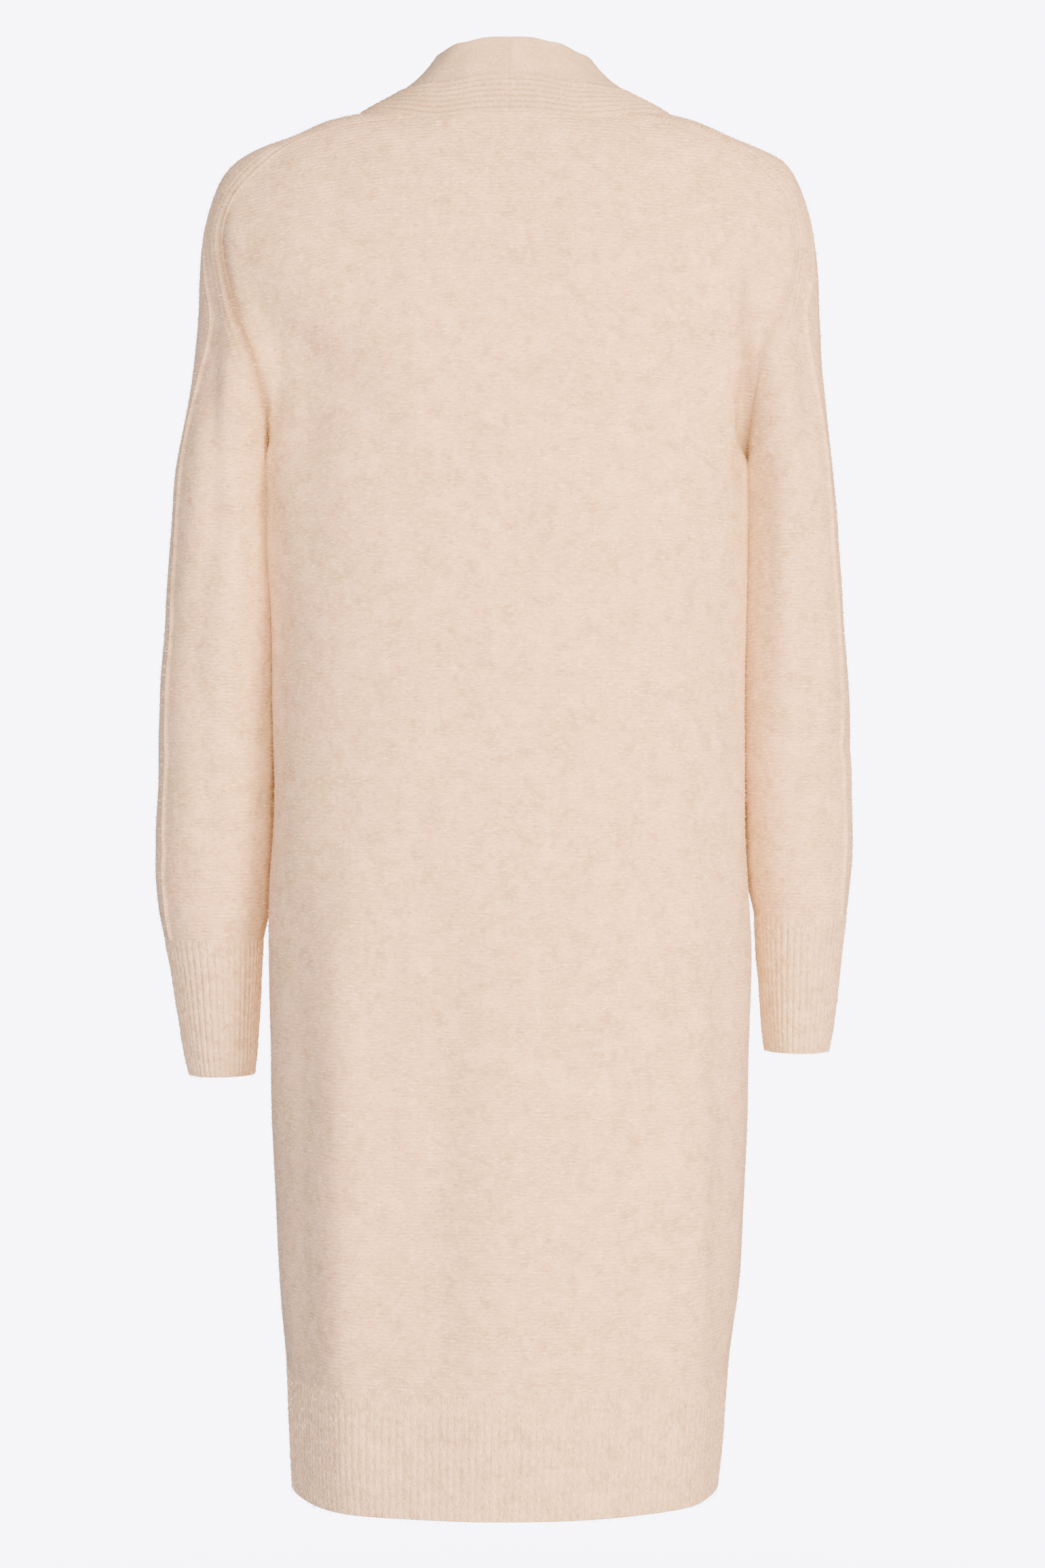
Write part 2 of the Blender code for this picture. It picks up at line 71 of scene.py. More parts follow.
Section = namedtuple(
    "Section",
    "top_x top_z back_x back_z back_depth back_turn front_x front_z front_depth front_turn forward spread",
)
SHOULDER = [
    Section(111, 7, 64, -3, 56, 63, 96, 3, 40, 53, 0, -4),
    Section(134, 0.7, 112, -7.5, 50, 62, 117, -6, 47, 56, 0, -2.2),
    Section(158, -10, 137, -14.5, 48, 61, 139, -14.5, 49, 59, 0, -1.8),
    Section(180, -18.7, 156, -23, 47, 59, 157, -24, 50, 60, 0, -1.4),
    Section(195, -27, 172, -36, 48, 57, 172, -37, 51, 59, 0, -1),
    Section(205, -39, 186, -50, 51, 54, 185, -51, 53, 57, 0, 0),
    Section(212, -56, 196, -65, 55, 50, 194, -67, 56, 54, 0, 0),
    Section(218, -80, 201.5, -84, 59, 47, 199, -87, 60, 52, 0, 0),
    Section(221, -110, 199.5, -108, 63, 53, 196, -112, 64, 58, 0, 0),
    Section(222.3, -145, 190.5, -140, 66, 66, 188, -143, 66, 70, 0, 0),
    Section(225, -180, 177.5, -170, 67, 95, 177.5, -172, 67, 97, 0, 0.7),
    Section(228.5, -207, 171.5, -199, 67, 125, 171.5, -200, 67, 127, 0, 1.7),
    Section(232, -232, 169, -228, 66, 150, 169, -228, 66, 150, 0, 2.7),
    Section(235, -255, 168, -255, 65, 180, 168, -255, 65, 180, 0, 3.3),
]
UNDERARM = len(SHOULDER) - 1

Body = namedtuple("Body", "height half_width back front roundness sway")
HEM_TOP = -885
BODY = [
    Body(-255, 168, 104, 101, 0.76, 0),
    Body(-290, 167, 103, 101, 0.76, 0),
    Body(-345, 166.5, 101, 100, 0.76, 0),
    Body(-420, 166.5, 101, 99, 0.75, 0),
    Body(-500, 168, 105, 102, 0.74, -0.3),
    Body(-545, 170.3, 108, 104, 0.73, -0.6),
    Body(-595, 172.3, 111, 106, 0.72, -0.8),
    Body(-680, 170, 116, 111, 0.7, -0.5),
    Body(-770, 167, 120, 116, 0.67, -0.6),
    Body(-835, 162.8, 122, 119, 0.65, 0.2),
    Body(HEM_TOP, 157.8, 123, 120, 0.63, 1),
    Body(-928, 154.8, 124, 121, 0.62, 1.9),
    Body(-971, 151.8, 122.5, 120, 0.61, 2.9),
]
HEM_ROW = UNDERARM + [row.height for row in BODY].index(HEM_TOP)
LAST_ROW = UNDERARM + len(BODY) - 1

BackRise = namedtuple("BackRise", "height depth")
BACK_RISE = [
    BackRise(-1.5, 58), BackRise(-20, 67.5), BackRise(-45, 78), BackRise(-75, 87.5), BackRise(-110, 95.5),
    BackRise(-150, 101), BackRise(-200, 104), BackRise(-255, 104),
]
FrontEdge = namedtuple("FrontEdge", "height across depth")
FRONT_EDGE = [
    FrontEdge(-10, 80, 50), FrontEdge(-28, 79.5, 60), FrontEdge(-50, 79, 69.5), FrontEdge(-80, 79, 79.5),
    FrontEdge(-120, 79, 89), FrontEdge(-170, 79, 96.5), FrontEdge(-255, 79, 101),
]
BAND_SEAM_X = 79
CENTRE_FLATNESS = 0.62
SHOULDER_PULL = 0.33
BACK_TURN_IN = np.array([-1.0, 0.0, 0.0])
FRONT_TURN_IN = np.array([-1.0, -0.16, 0.0]) / math.hypot(1.0, 0.16)
EASING = 6


def interpolate(table, place):
    """Values of a table, whose first column is the place, on a smooth line through its rows."""
    rows = sorted(table)
    last = len(rows) - 1
    k = next((i for i in range(last) if place <= rows[i + 1][0]), last - 1)
    before, start, end, after = (rows[min(max(k + step, 0), last)] for step in (-1, 0, 1, 2))
    width = end[0] - start[0]
    t = min(max((place - start[0]) / width, 0.0), 1.0)
    values = []
    for column in range(1, len(start)):
        slope_in = (end[column] - before[column]) / (end[0] - before[0])
        slope_out = (after[column] - start[column]) / (after[0] - start[0])
        values.append(
            (2 * t**3 - 3 * t**2 + 1) * start[column] + (t**3 - 2 * t**2 + t) * width * slope_in
            + (3 * t**2 - 2 * t**3) * end[column] + (t**3 - t**2) * width * slope_out
        )
    return values


def section_line(row):
    """Fine points of a sleeve section, from the front seam over the top to the back seam."""
    halves = []
    for x, z, depth, turn in (
        (row.front_x, row.front_z, -row.front_depth, row.front_turn),
        (row.back_x, row.back_z, row.back_depth, row.back_turn),
    ):
        angle = np.radians(np.linspace(0, turn, SECTION_STEPS + 1))
        share = (1 - np.cos(angle)) / (1 - math.cos(math.radians(turn)))
        across = row.top_x + (x - row.top_x) * share
        up = row.top_z + (z - row.top_z) * share
        halves.append(np.stack([across, depth * np.sin(angle) - row.forward, up], axis=1))
    return np.concatenate([halves[0][:0:-1], halves[1]])


def distances(points):
    """Distance of each point along its line."""
    return np.concatenate([[0], np.cumsum(np.linalg.norm(np.diff(points, axis=0), axis=1))])


def at_distances(points, places):
    """Points at the given distances along a fine line."""
    marks = distances(points)
    return np.stack([np.interp(places, marks, points[:, axis]) for axis in range(3)], axis=1)


def evenly(points, count):
    """The line in count equal steps."""
    return at_distances(points, np.linspace(0, distances(points)[-1], count + 1))


def seam_pull(x, z, depth, turn, row):
    """Direction in which the body leaves the seam: on with the sleeve, and back out of the underarm fold."""
    angle = math.radians(turn)
    inward = np.array([x - row.top_x, 0, z - row.top_z]) * (math.sin(angle) / (1 - math.cos(angle)))
    pull = inward + np.array([0, depth * abs(math.cos(angle)), 0])
    return pull / np.linalg.norm(pull)


def body_line(seam, pull, middle, turn_in, roundness):
    """Fine points on a cubic curve from a side seam to the middle of the back, or to the front edge."""
    deep = pull[1] ** 2
    reach_x, reach_y = abs(seam[0] - middle[0]), abs(seam[1] - middle[1])
    first = seam + pull * (roundness * reach_y * deep + SHOULDER_PULL * reach_x * (1 - deep))
    second = middle - turn_in * CENTRE_FLATNESS * reach_x
    t = np.linspace(0, 1, SECTION_STEPS + 1)[:, None]
    s = 1 - t
    return seam * s**3 + first * 3 * s * s * t + second * 3 * s * t * t + middle * t**3


def body_rows(columns, coarse_columns, is_back):
    """Rows of one half of the body on the wearer's left, one for each row of the tables, seam first."""
    rows = []
    for i, row in enumerate(SHOULDER[:UNDERARM]):
        line = section_line(row)
        share = i / UNDERARM
        if is_back:
            height = BACK_RISE[0].height * (1 - share) + BODY[0].height * share
            middle = np.array([0, interpolate(BACK_RISE, height)[0], height])
            pull = seam_pull(row.back_x, row.back_z, row.back_depth, row.back_turn, row)
            fine = body_line(line[-1], pull, middle, BACK_TURN_IN, BODY[0].roundness)
        else:
            height = FRONT_EDGE[0].height * (1 - share) + BODY[0].height * share
            across, depth = interpolate(FRONT_EDGE, height)
            middle = np.array([across, -depth, height])
            pull = seam_pull(row.front_x, row.front_z, -row.front_depth, row.front_turn, row)
            fine = body_line(line[0], pull, middle, FRONT_TURN_IN, BODY[0].roundness)
        rows.append(evenly(fine, columns))
    for row in BODY:
        seam = np.array([row.half_width, 0, row.height])
        if is_back:
            middle, pull, turn_in = np.array([0, row.back, row.height]), np.array([0, 1, 0]), BACK_TURN_IN
        else:
            middle, pull = np.array([BAND_SEAM_X, -row.front, row.height]), np.array([0, -1, 0])
            turn_in = FRONT_TURN_IN
        rows.append(evenly(body_line(seam, pull, middle, turn_in, row.roundness), columns))
    rows = np.array(rows)
    edge_step = np.arange(columns + 1) * coarse_columns / columns
    weight = np.clip(edge_step, 0, 1)
    if not is_back:
        weight *= np.clip(coarse_columns - edge_step, 0, 1)
    upper = rows[:HEM_ROW + 1]
    share = (upper[:-2, :, 2] - upper[1:-1, :, 2]) / (upper[:-2, :, 2] - upper[2:, :, 2])
    for _ in range(EASING):
        line = upper[:-2, :, 1] * (1 - share) + upper[2:, :, 1] * share
        upper[1:-1, :, 1] += weight * (line - upper[1:-1, :, 1]) / 2
    return rows


ROW_MARKS = distances(np.array([section_line(row)[-1] for row in SHOULDER]))
BODY_DROPS = BODY[0].height - np.array([row.height for row in BODY[1:]])
BODY_MARKS = np.concatenate([ROW_MARKS, ROW_MARKS[-1] + BODY_DROPS])
SWAY = np.array([0.0] * UNDERARM + [row.sway for row in BODY])


def between_rows(rows, marks, start, end, spacing):
    """Rows about spacing apart, from row start to row end, on smooth lines through the given rows."""
    slopes = np.empty_like(rows)
    slopes[1:-1] = (rows[2:] - rows[:-2]) / (marks[2:] - marks[:-2])[:, None, None]
    slopes[0] = (rows[1] - rows[0]) / (marks[1] - marks[0])
    slopes[-1] = (rows[-1] - rows[-2]) / (marks[-1] - marks[-2])
    places = np.linspace(marks[start], marks[end], round((marks[end] - marks[start]) / spacing) + 1)
    k = np.clip(np.searchsorted(marks, places, side="right") - 1, 0, len(rows) - 2)
    width = (marks[k + 1] - marks[k])[:, None, None]
    t = (places - marks[k])[:, None, None] / width
    return (
        (2 * t**3 - 3 * t**2 + 1) * rows[k] + (t**3 - 2 * t**2 + t) * width * slopes[k]
        + (3 * t**2 - 2 * t**3) * rows[k + 1] + (t**3 - t**2) * width * slopes[k + 1]
    )


def body_grid(columns, coarse_columns, is_back, start, end, spacing, side=LEFT):
    """Grid of the back, or of one front, between two rows of the tables."""
    rows = body_rows(columns, coarse_columns, is_back)
    if is_back:
        rows = np.concatenate([rows, rows[:, -2::-1] * (-1, 1, 1)], axis=1)
    else:
        rows = rows[:, ::-1] if side == LEFT else rows * (-1, 1, 1)
    rows[:, :, 0] += SWAY[:, None]
    return between_rows(rows, BODY_MARKS, start, end, spacing)


def outward(grid):
    """Unit direction out of the cloth at each point."""
    direction = np.cross(np.gradient(grid, axis=0), np.gradient(grid, axis=1))
    return direction / np.linalg.norm(direction, axis=2, keepdims=True)


Fold = namedtuple("Fold", "x z to_x to_z width rise")
FOLD_END = 0.08
FOLD_SWELL = 0.7


def folds(grid, table):
    """Rise of each point from soft ridges, or troughs where the rise is negative, seen square on."""
    rise = np.zeros(grid.shape[:2])
    flat = grid[:, :, (0, 2)]
    for fold in table:
        start, end = np.array([fold.x, fold.z]), np.array([fold.to_x, fold.to_z])
        run = end - start
        t = np.clip(((flat - start) @ run) / (run @ run), 0, 1)
        away = np.linalg.norm(flat - start - t[:, :, None] * run, axis=2)
        along = np.sin(math.pi * (FOLD_END + (1 - 2 * FOLD_END) * t)) ** FOLD_SWELL
        rise += fold.rise * np.exp(-((away / fold.width) ** 2)) * along
    return rise


Softness = namedtuple("Softness", "size rise seed")
WAVES = 14
WAVE_SIZES = (0.7, 1.8)


def softness(grid, size, rise, seed):
    """Slight unevenness of the cloth: a sum of long waves in random directions."""
    rng = np.random.default_rng(seed)
    total = np.zeros(grid.shape[:2])
    for _ in range(WAVES):
        direction = rng.normal(size=3)
        direction *= 2 * math.pi / (size * rng.uniform(*WAVE_SIZES) * np.linalg.norm(direction))
        total += np.sin(grid @ direction + rng.uniform(0, 2 * math.pi))
    return total * rise / WAVES


def from_edges(grid, edges):
    """Distance of each point from the nearest of the named edges, along the cloth."""
    rows, columns = distances(grid[:, grid.shape[1] // 2]), distances(grid[grid.shape[0] // 2])
    away = {
        "top": rows[:, None], "bottom": (rows[-1] - rows)[:, None],
        "left": columns[None, :], "right": (columns[-1] - columns)[None, :],
    }
    nearest = np.full(grid.shape[:2], np.inf)
    for edge in edges:
        nearest = np.minimum(nearest, away[edge])
    return nearest


def fading(value, start, end):
    """From one down to nothing between two values, softly."""
    share = 1 - np.clip((value - start) / (end - start), 0, 1)
    return share * share * (3 - 2 * share)


HELD_REACH = 12


def held(grid, edges):
    """Nothing at the named edges, where a seam holds the cloth, and one past its reach."""
    return 1 - fading(from_edges(grid, edges), 0, HELD_REACH)


# Places down the armhole seam, from the outer end of the shoulder to the underarm, and down the body's side.
CAP_TOP, _, CAP_UPPER, CAP_MIDDLE, CAP_SIDE, CAP_LOWER, CAP_FOOT, UNDER_FOLD = ROW_MARKS[5:13]
CHEST, WAIST = BODY_MARKS[UNDERARM + 2], BODY_MARKS[UNDERARM + 5]
CREASE_DEPTH = 2.2
CREASE_WIDTH = 6.0
PRESS = 4.0
PRESS_FROM_SEAM = 25
PRESS_WIDTH = 15
UPPER_CREASE = {LEFT: 1.2, RIGHT: 0.3}


def armhole(place, from_seam, upper):
    """Rise beside the armhole seam, the same on both pieces so that they stay together.

    place is the distance down the seam. A soft crease deepens down to the underarm, and from there on the
    sleeve and the body press together, so that the fold between them is shallow. upper is how much of the
    crease there is above the underarm. With the rise come how much shade is painted into the fold beside
    the seam, and how far the cloth is pressed.
    """
    under = 1 - fading(place, CAP_SIDE, UNDER_FOLD)
    deep = upper * (1 - fading(place, CAP_TOP, CAP_MIDDLE)) * fading(place, CAP_SIDE, CAP_FOOT)
    crease = CREASE_DEPTH * deep * np.exp(-((from_seam / CREASE_WIDTH) ** 2))
    beside = np.exp(-(((from_seam - PRESS_FROM_SEAM) / PRESS_WIDTH) ** 2))
    pressed = under * fading(place, CHEST, WAIST) * beside
    fold_shade_mask = (1 - fading(place, CAP_TOP, CAP_SIDE)) * fading(place, UNDER_FOLD, WAIST)
    return PRESS * pressed - crease, fold_shade_mask * (upper + (1 - upper) * under), pressed


# Share and width of the shade painted into a fold beside a seam.
TuckShade = namedtuple("TuckShade", "share width")


def tuck_shade(fold_shade_mask, from_seam, table):
    """Painted shade in the fold beside a seam: most at the seam, and less over each width of the table."""
    return fold_shade_mask * sum(row.share * np.exp(-((from_seam / row.width) ** 2)) for row in table)


def from_sides(grid):
    """Distances of each point from the left and the right end of its row, along the cloth."""
    across = np.cumsum(np.linalg.norm(np.diff(grid, axis=1, prepend=grid[:, :1]), axis=2), axis=1)
    return across, across[:, -1:] - across


COURSE_DROOP = {LEFT: 11.0, RIGHT: 5.0}
DROOP_FOOT = -450
DROOP_REACH = 200


def knit_coordinates(grid, level):
    """Distance across and down the cloth at each point, in metres, for patterns that follow the stitches.

    level is for the body, whose rows of stitches are level and droop a little towards the armholes.
    """
    middle = grid.shape[1] // 2
    across = from_sides(grid)[0]
    across = across - across[:, middle:middle + 1]
    if level:
        x, z = grid[:, :, 0], grid[:, :, 2]
        droop = np.where(x > 0, COURSE_DROOP[LEFT], COURSE_DROOP[RIGHT]) * (x / BODY[0].half_width) ** 2
        down = -z - droop * np.clip((z - DROOP_FOOT) / DROOP_REACH, 0, 1)
    else:
        down = np.broadcast_to(distances(grid[:, middle])[:, None], across.shape)
    return np.stack([across, down, np.zeros_like(across)], axis=2) * MM


EDGE_ROUNDING = 0.45
SHARP_ANGLE = math.radians(60)


def cloth(name, node, grid, rise, thickness, free_edges, material, painted_groove_shade=0.0, painted_fold_shade=0.0, level=False):
    """A thin closed shell on a grid: its outer side raised, its inner side one thickness in.

    The groove shade value is one in the troughs of ribs and beside seams, and the fold shade value is one
    where
    the cloth is folded in: each paints shade into the colour there, and both are nothing elsewhere.
    free_edges are the ones that no seam holds, and rounded.
    """
    rows, columns = grid.shape[:2]
    points = (grid + outward(grid) * rise[:, :, None]) * MM
    bm = bmesh.new()
    bmesh.ops.create_grid(bm, x_segments=columns - 1, y_segments=rows - 1, size=1)
    bmesh.ops.reverse_faces(bm, faces=bm.faces)
    mesh = bpy.data.meshes.new(name)
    bm.to_mesh(mesh)
    bm.free()
    mesh.vertices.foreach_set("co", points.reshape(-1).astype(np.float32))
    knit = mesh.attributes.new("knit", "FLOAT_VECTOR", "POINT")
    knit.data.foreach_set("vector", knit_coordinates(grid, level).reshape(-1).astype(np.float32))
    for word, value in (("painted_groove_shade", painted_groove_shade), ("painted_fold_shade", painted_fold_shade)):
        shade = mesh.attributes.new(word, "FLOAT", "POINT")
        everywhere = np.broadcast_to(value, (rows, columns)).reshape(-1)
        shade.data.foreach_set("value", everywhere.astype(np.float32))
    numbers = np.arange(rows * columns).reshape(rows, columns)
    border = {"top": numbers[0], "bottom": numbers[-1], "left": numbers[:, 0], "right": numbers[:, -1]}
    pairs = np.zeros(len(mesh.edges) * 2, np.int32)
    mesh.edges.foreach_get("vertices", pairs)
    pairs = pairs.reshape(-1, 2)
    weight = np.zeros(len(mesh.edges), np.float32)
    for edge in free_edges:
        weight[np.isin(pairs, border[edge]).all(axis=1)] = 1
    mesh.attributes.new("bevel_weight_edge", "FLOAT", "EDGE").data.foreach_set("value", weight)
    piece = bpy.data.objects.new(name, mesh)
    bpy.context.scene.collection.objects.link(piece)
    shell = piece.modifiers.new("wall", "SOLIDIFY")
    shell.thickness = thickness * MM
    shell.offset = -1
    soft = piece.modifiers.new("soft_edge", "BEVEL")
    soft.limit_method = "WEIGHT"
    soft.width = thickness * EDGE_ROUNDING * MM
    soft.segments = 3
    ready = piece.evaluated_get(bpy.context.evaluated_depsgraph_get())
    finished = bpy.data.meshes.new_from_object(ready)
    piece.modifiers.clear()
    piece.data = finished
    bpy.data.meshes.remove(mesh)
    finished.name = name
    finished.shade_smooth()
    finished.set_sharp_from_angle(angle=SHARP_ANGLE)
    finished.materials.clear()
    finished.materials.append(material)
    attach(piece, "root")
    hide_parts(node)
    return piece


def linear(hex_code):
    """Linear colour of an sRGB hex code."""
    values = [int(hex_code[i:i + 2], 16) / 255 for i in (0, 2, 4)]
    return tuple(v / 12.92 if v <= 0.04045 else ((v + 0.055) / 1.055) ** 2.4 for v in values) + (1.0,)


def add(tree, kind, settings=(), links=()):
    """A node with its settings, which are properties or sockets, and its incoming links."""
    node = tree.nodes.new(kind)
    for key, value in dict(settings).items():
        if isinstance(key, str) and hasattr(node, key):
            setattr(node, key, value)
        else:
            node.inputs[key].default_value = value
    for key, source in dict(links).items():
        tree.links.new(source, node.inputs[key])
    return node


# The wave texture turns by 20 radians for each unit of length at a scale of one.
WAVE_RATE = 20


def brushed_wool_knit(name, streak, course, row_relief, yarn, pale):
    """Brushed wool-blend knit of melange yarn, which is spun from cream, peach and grey fibre.

    The nap hides the stitches. The eye gets a matt, milky surface with broken pale streaks along the yarn,
    darker ones between them, pink and grey flecks, and soft clouds of colour.
    All sizes are in millimetres. streak is a streak's length across and down the cloth, and course the gap
    between rows of stitches, drawn coarser than a real 1.2 mm so that it shows. row_relief is how far the
    rows stand out, yarn the sandy and the rosy tone of the ground, and pale how much pale fibre is on it.
    """
    material = bpy.data.materials.new(name)
    material.use_nodes = True
    tree = material.node_tree
    tree.nodes.clear()
    knit = add(tree, "ShaderNodeAttribute", {"attribute_name": "knit"}).outputs["Vector"]
    place = add(tree, "ShaderNodeTexCoord").outputs["Object"]

    def noise(vector, across, down, detail, roughness=0.55):
        """Noise whose features are about so long across and down."""
        scale = (1 / (across * MM), 1 / (down * MM), 1 / (down * MM))
        mapped = add(tree, "ShaderNodeMapping", {"Scale": scale}, {"Vector": vector})
        return add(tree, "ShaderNodeTexNoise", {"Scale": 1.0, "Detail": detail, "Roughness": roughness},
                   {"Vector": mapped.outputs["Vector"]}).outputs["Fac"]

    def part(value, start, end, most):
        """The share of a fleck or streak: nothing at one value of its noise and most at the other."""
        return add(tree, "ShaderNodeMapRange", {
            "interpolation_type": "SMOOTHSTEP", "From Min": start, "From Max": end,
            "To Min": 0.0, "To Max": most}, {"Value": value}).outputs["Result"]

    def tinted(under, code, share):
        """The colour beneath, with another mixed over it."""
        return add(tree, "ShaderNodeMix", {"data_type": "RGBA", 7: linear(code)},
                   {0: share, 6: under}).outputs[2]

    streaks = noise(knit, *streak, detail=2.5, roughness=0.6)
    dashes = noise(knit, streak[0] * 0.6, streak[1] * 0.7, detail=1.0)
    specks = noise(knit, 2.8, 1.6, detail=1.0)
    dots = noise(place, 1.5, 1.5, detail=1.0)
    patches = noise(place, 45, 45, detail=4.0)
    grey_clouds = noise(place, 10, 10, detail=3.0)
    milky_clouds = noise(place, 15, 15, detail=3.0)
    pits = noise(place, 2, 2, detail=1.0)
    fuzz = noise(place, 1.2, 1.2, detail=2.0)
    colour = add(tree, "ShaderNodeMix", {"data_type": "RGBA", 6: linear(yarn[0]), 7: linear(yarn[1])},
                 {0: part(patches, 0.4, 0.6, 1.0)}).outputs[2]
    for code, value, start, end, most in (
        ("B3A08C", grey_clouds, 0.46, 0.7, 0.5 * pale),
        ("F4E0D0", milky_clouds, 0.48, 0.68, 0.6 * pale),
        ("FCEEDF", streaks, 0.5, 0.7, 0.85 * pale),
        ("BF9F84", dashes, 0.46, 0.26, 0.55),
        ("DD9F80", specks, 0.64, 0.8, 0.6),
        ("8F8275", specks, 0.34, 0.2, 0.5),
        ("8F7F70", dots, 0.36, 0.2, 0.6),
        ("FFF6EA", dots, 0.64, 0.8, 0.6),
    ):
        colour = tinted(colour, code, part(value, start, end, most))
    # Painted shade: the colour darkens in the troughs of ribs and in the grooves beside seams, broken up by
    # small pits.
    painted_groove_shade = add(tree, "ShaderNodeAttribute", {"attribute_name": "painted_groove_shade"}).outputs["Fac"]
    shaded = add(tree, "ShaderNodeMath", {"operation": "MULTIPLY"},
                 {0: painted_groove_shade, 1: part(pits, 0.34, 0.62, 1.0)}).outputs["Value"]
    colour = tinted(colour, "9A9084", part(shaded, 0.0, 1.0, 0.7))
    # Painted shade: a brownish grey darkens the colour where the cloth is folded in beside the armholes.
    painted_fold_shade = add(tree, "ShaderNodeAttribute", {"attribute_name": "painted_fold_shade"}).outputs["Fac"]
    colour = tinted(colour, "9C8574", painted_fold_shade)
    rows = add(tree, "ShaderNodeTexWave", {
        "wave_type": "BANDS", "bands_direction": "Y", "Scale": 2 * math.pi / (WAVE_RATE * course * MM),
        "Distortion": 3.0, "Detail": 2.0, "Detail Scale": 0.8}, {"Vector": knit}).outputs["Fac"]
    relief = add(tree, "ShaderNodeMath", {"operation": "MULTIPLY_ADD", 1: 1.6}, {0: streaks, 2: fuzz})
    relief = add(tree, "ShaderNodeMath", {"operation": "MULTIPLY_ADD", 1: row_relief},
                 {0: rows, 2: relief.outputs["Value"]})
    bump = add(tree, "ShaderNodeBump", {"Strength": 0.6, "Distance": 0.5 * MM},
               {"Height": relief.outputs["Value"]})
    shader = add(tree, "ShaderNodeBsdfPrincipled", {
        "Roughness": 0.95, "Sheen Weight": 0.12, "Sheen Roughness": 0.6, "Sheen Tint": linear("FFEBD6"),
        "Specular IOR Level": 0.15}, {"Base Color": colour, "Normal": bump.outputs["Normal"]})
    add(tree, "ShaderNodeOutputMaterial", links={"Surface": shader.outputs["BSDF"]})
    return material


def loose_fibre():
    """Loose wool fibre of the nap: fine and matt, in the colours of the melange. It softens the outline."""
    material = bpy.data.materials.new("wool_fibre")
    material.use_nodes = True
    tree = material.node_tree
    tree.nodes.clear()
    tint = add(tree, "ShaderNodeAttribute", {"attribute_name": "tint"})
    shader = add(tree, "ShaderNodeBsdfPrincipled", {
        "Roughness": 0.8, "Sheen Weight": 0.2, "Specular IOR Level": 0.2},
        {"Base Color": tint.outputs["Color"]})
    add(tree, "ShaderNodeOutputMaterial", links={"Surface": shader.outputs["BSDF"]})
    return material


Fibre = namedtuple("Fibre", "colour share")
FIBRES = [
    Fibre("FCEFE1", 0.46), Fibre("F2DDC9", 0.24), Fibre("DFC2A8", 0.14), Fibre("DCA98C", 0.1),
    Fibre("B9A48F", 0.06),
]
FIBRE_COLOURS = np.array([linear(fibre.colour) for fibre in FIBRES])
FIBRE_ROOT = 0.15
FIBRE_ARCH = 0.2
LENGTH_SPREAD = 0.35
CURL = 0.09
TILT = 0.8
WILD_SHARE = 0.14
FibreKind = namedtuple("FibreKind", "width spread lift")
TAME = FibreKind(width=0.34, spread=0.13, lift=0.8)
WILD = FibreKind(width=0.11, spread=1.0, lift=3.0)


def nap(name, grid, rise, slot, count, length, lift, lay, seed):
    """Brushed-up fibres on a grid: each a bent sliver that is pointed at both ends.

    Most lie along the cloth, turned from its rows by the lay, and the wild ones stand up any way.
    """
    rng = np.random.default_rng(seed)
    points = grid + outward(grid) * (rise[:, :, None] - FIBRE_ROOT)
    normals = outward(grid)
    size = np.linalg.norm(np.cross(
        points[1:, :-1] - points[:-1, :-1], points[:-1, 1:] - points[:-1, :-1]), axis=2).reshape(-1)
    cell = rng.choice(len(size), count, p=size / size.sum())
    r, c = np.divmod(cell, grid.shape[1] - 1)
    a, b = rng.random((2, count, 1))
    shares = (
        (r, c, (1 - a) * (1 - b)), (r + 1, c, a * (1 - b)), (r, c + 1, (1 - a) * b), (r + 1, c + 1, a * b),
    )
    root = sum(points[i, k] * share for i, k, share in shares)
    up = sum(normals[i, k] * share for i, k, share in shares)
    across = points[r, c + 1] - points[r, c]
    across /= np.linalg.norm(across, axis=1, keepdims=True)
    down = np.cross(across, up)
    wild = rng.random((count, 1)) < WILD_SHARE
    turn = lay + rng.normal(0, 1, (count, 1)) * np.where(wild, WILD.spread, TAME.spread)
    turn += math.pi * rng.integers(0, 2, (count, 1))
    run = across * np.cos(turn) + down * np.sin(turn)
    side = np.cross(run, up)
    long = length * rng.lognormal(0, LENGTH_SPREAD, (count, 1))
    high = lift * rng.exponential(1, (count, 1)) * np.where(wild, WILD.lift, TAME.lift)
    curl = rng.normal(0, CURL, (count, 1)) * long
    middle = root + run * long * 0.5 + up * (high * 0.55 + FIBRE_ARCH) + side * curl
    tip = root + run * long + up * high
    tilt = rng.normal(0, TILT, (count, 1))
    half = (side * np.cos(tilt) + up * np.sin(tilt)) * np.where(wild, WILD.width, TAME.width) / 2
    corners = np.stack([root, middle - half, tip, middle + half], axis=1) * MM
    mesh = bpy.data.meshes.new(name)
    mesh.vertices.add(count * 4)
    mesh.vertices.foreach_set("co", corners.reshape(-1).astype(np.float32))
    mesh.loops.add(count * 4)
    mesh.loops.foreach_set("vertex_index", np.arange(count * 4, dtype=np.int32))
    mesh.polygons.add(count)
    mesh.polygons.foreach_set("loop_start", np.arange(0, count * 4, 4, dtype=np.int32))
    mesh.update(calc_edges=True)
    colour = FIBRE_COLOURS[rng.choice(len(FIBRES), count, p=[fibre.share for fibre in FIBRES])]
    tint = mesh.attributes.new("tint", "FLOAT_COLOR", "POINT")
    tint.data.foreach_set("color", np.repeat(colour, 4, axis=0).reshape(-1).astype(np.float32))
    mesh.materials.append(wool_fibre)
    piece = bpy.data.objects.new(name, mesh)
    bpy.context.scene.collection.objects.link(piece)
    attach(piece, "root")
    return piece


WALL = 2.2
BODY_NAP = {"length": 3.8, "lift": 0.55, "lay": 0.0}
# The plain knit: its streaks lie across the cloth, along the rows of stitches.
jersey = brushed_wool_knit("brushed_wool_jersey", streak=(5.8, 1.5), course=2.6, row_relief=0.85,
                           yarn=("DDCAB0", "E6CBB9"), pale=1.0)
wool_fibre = loose_fibre()

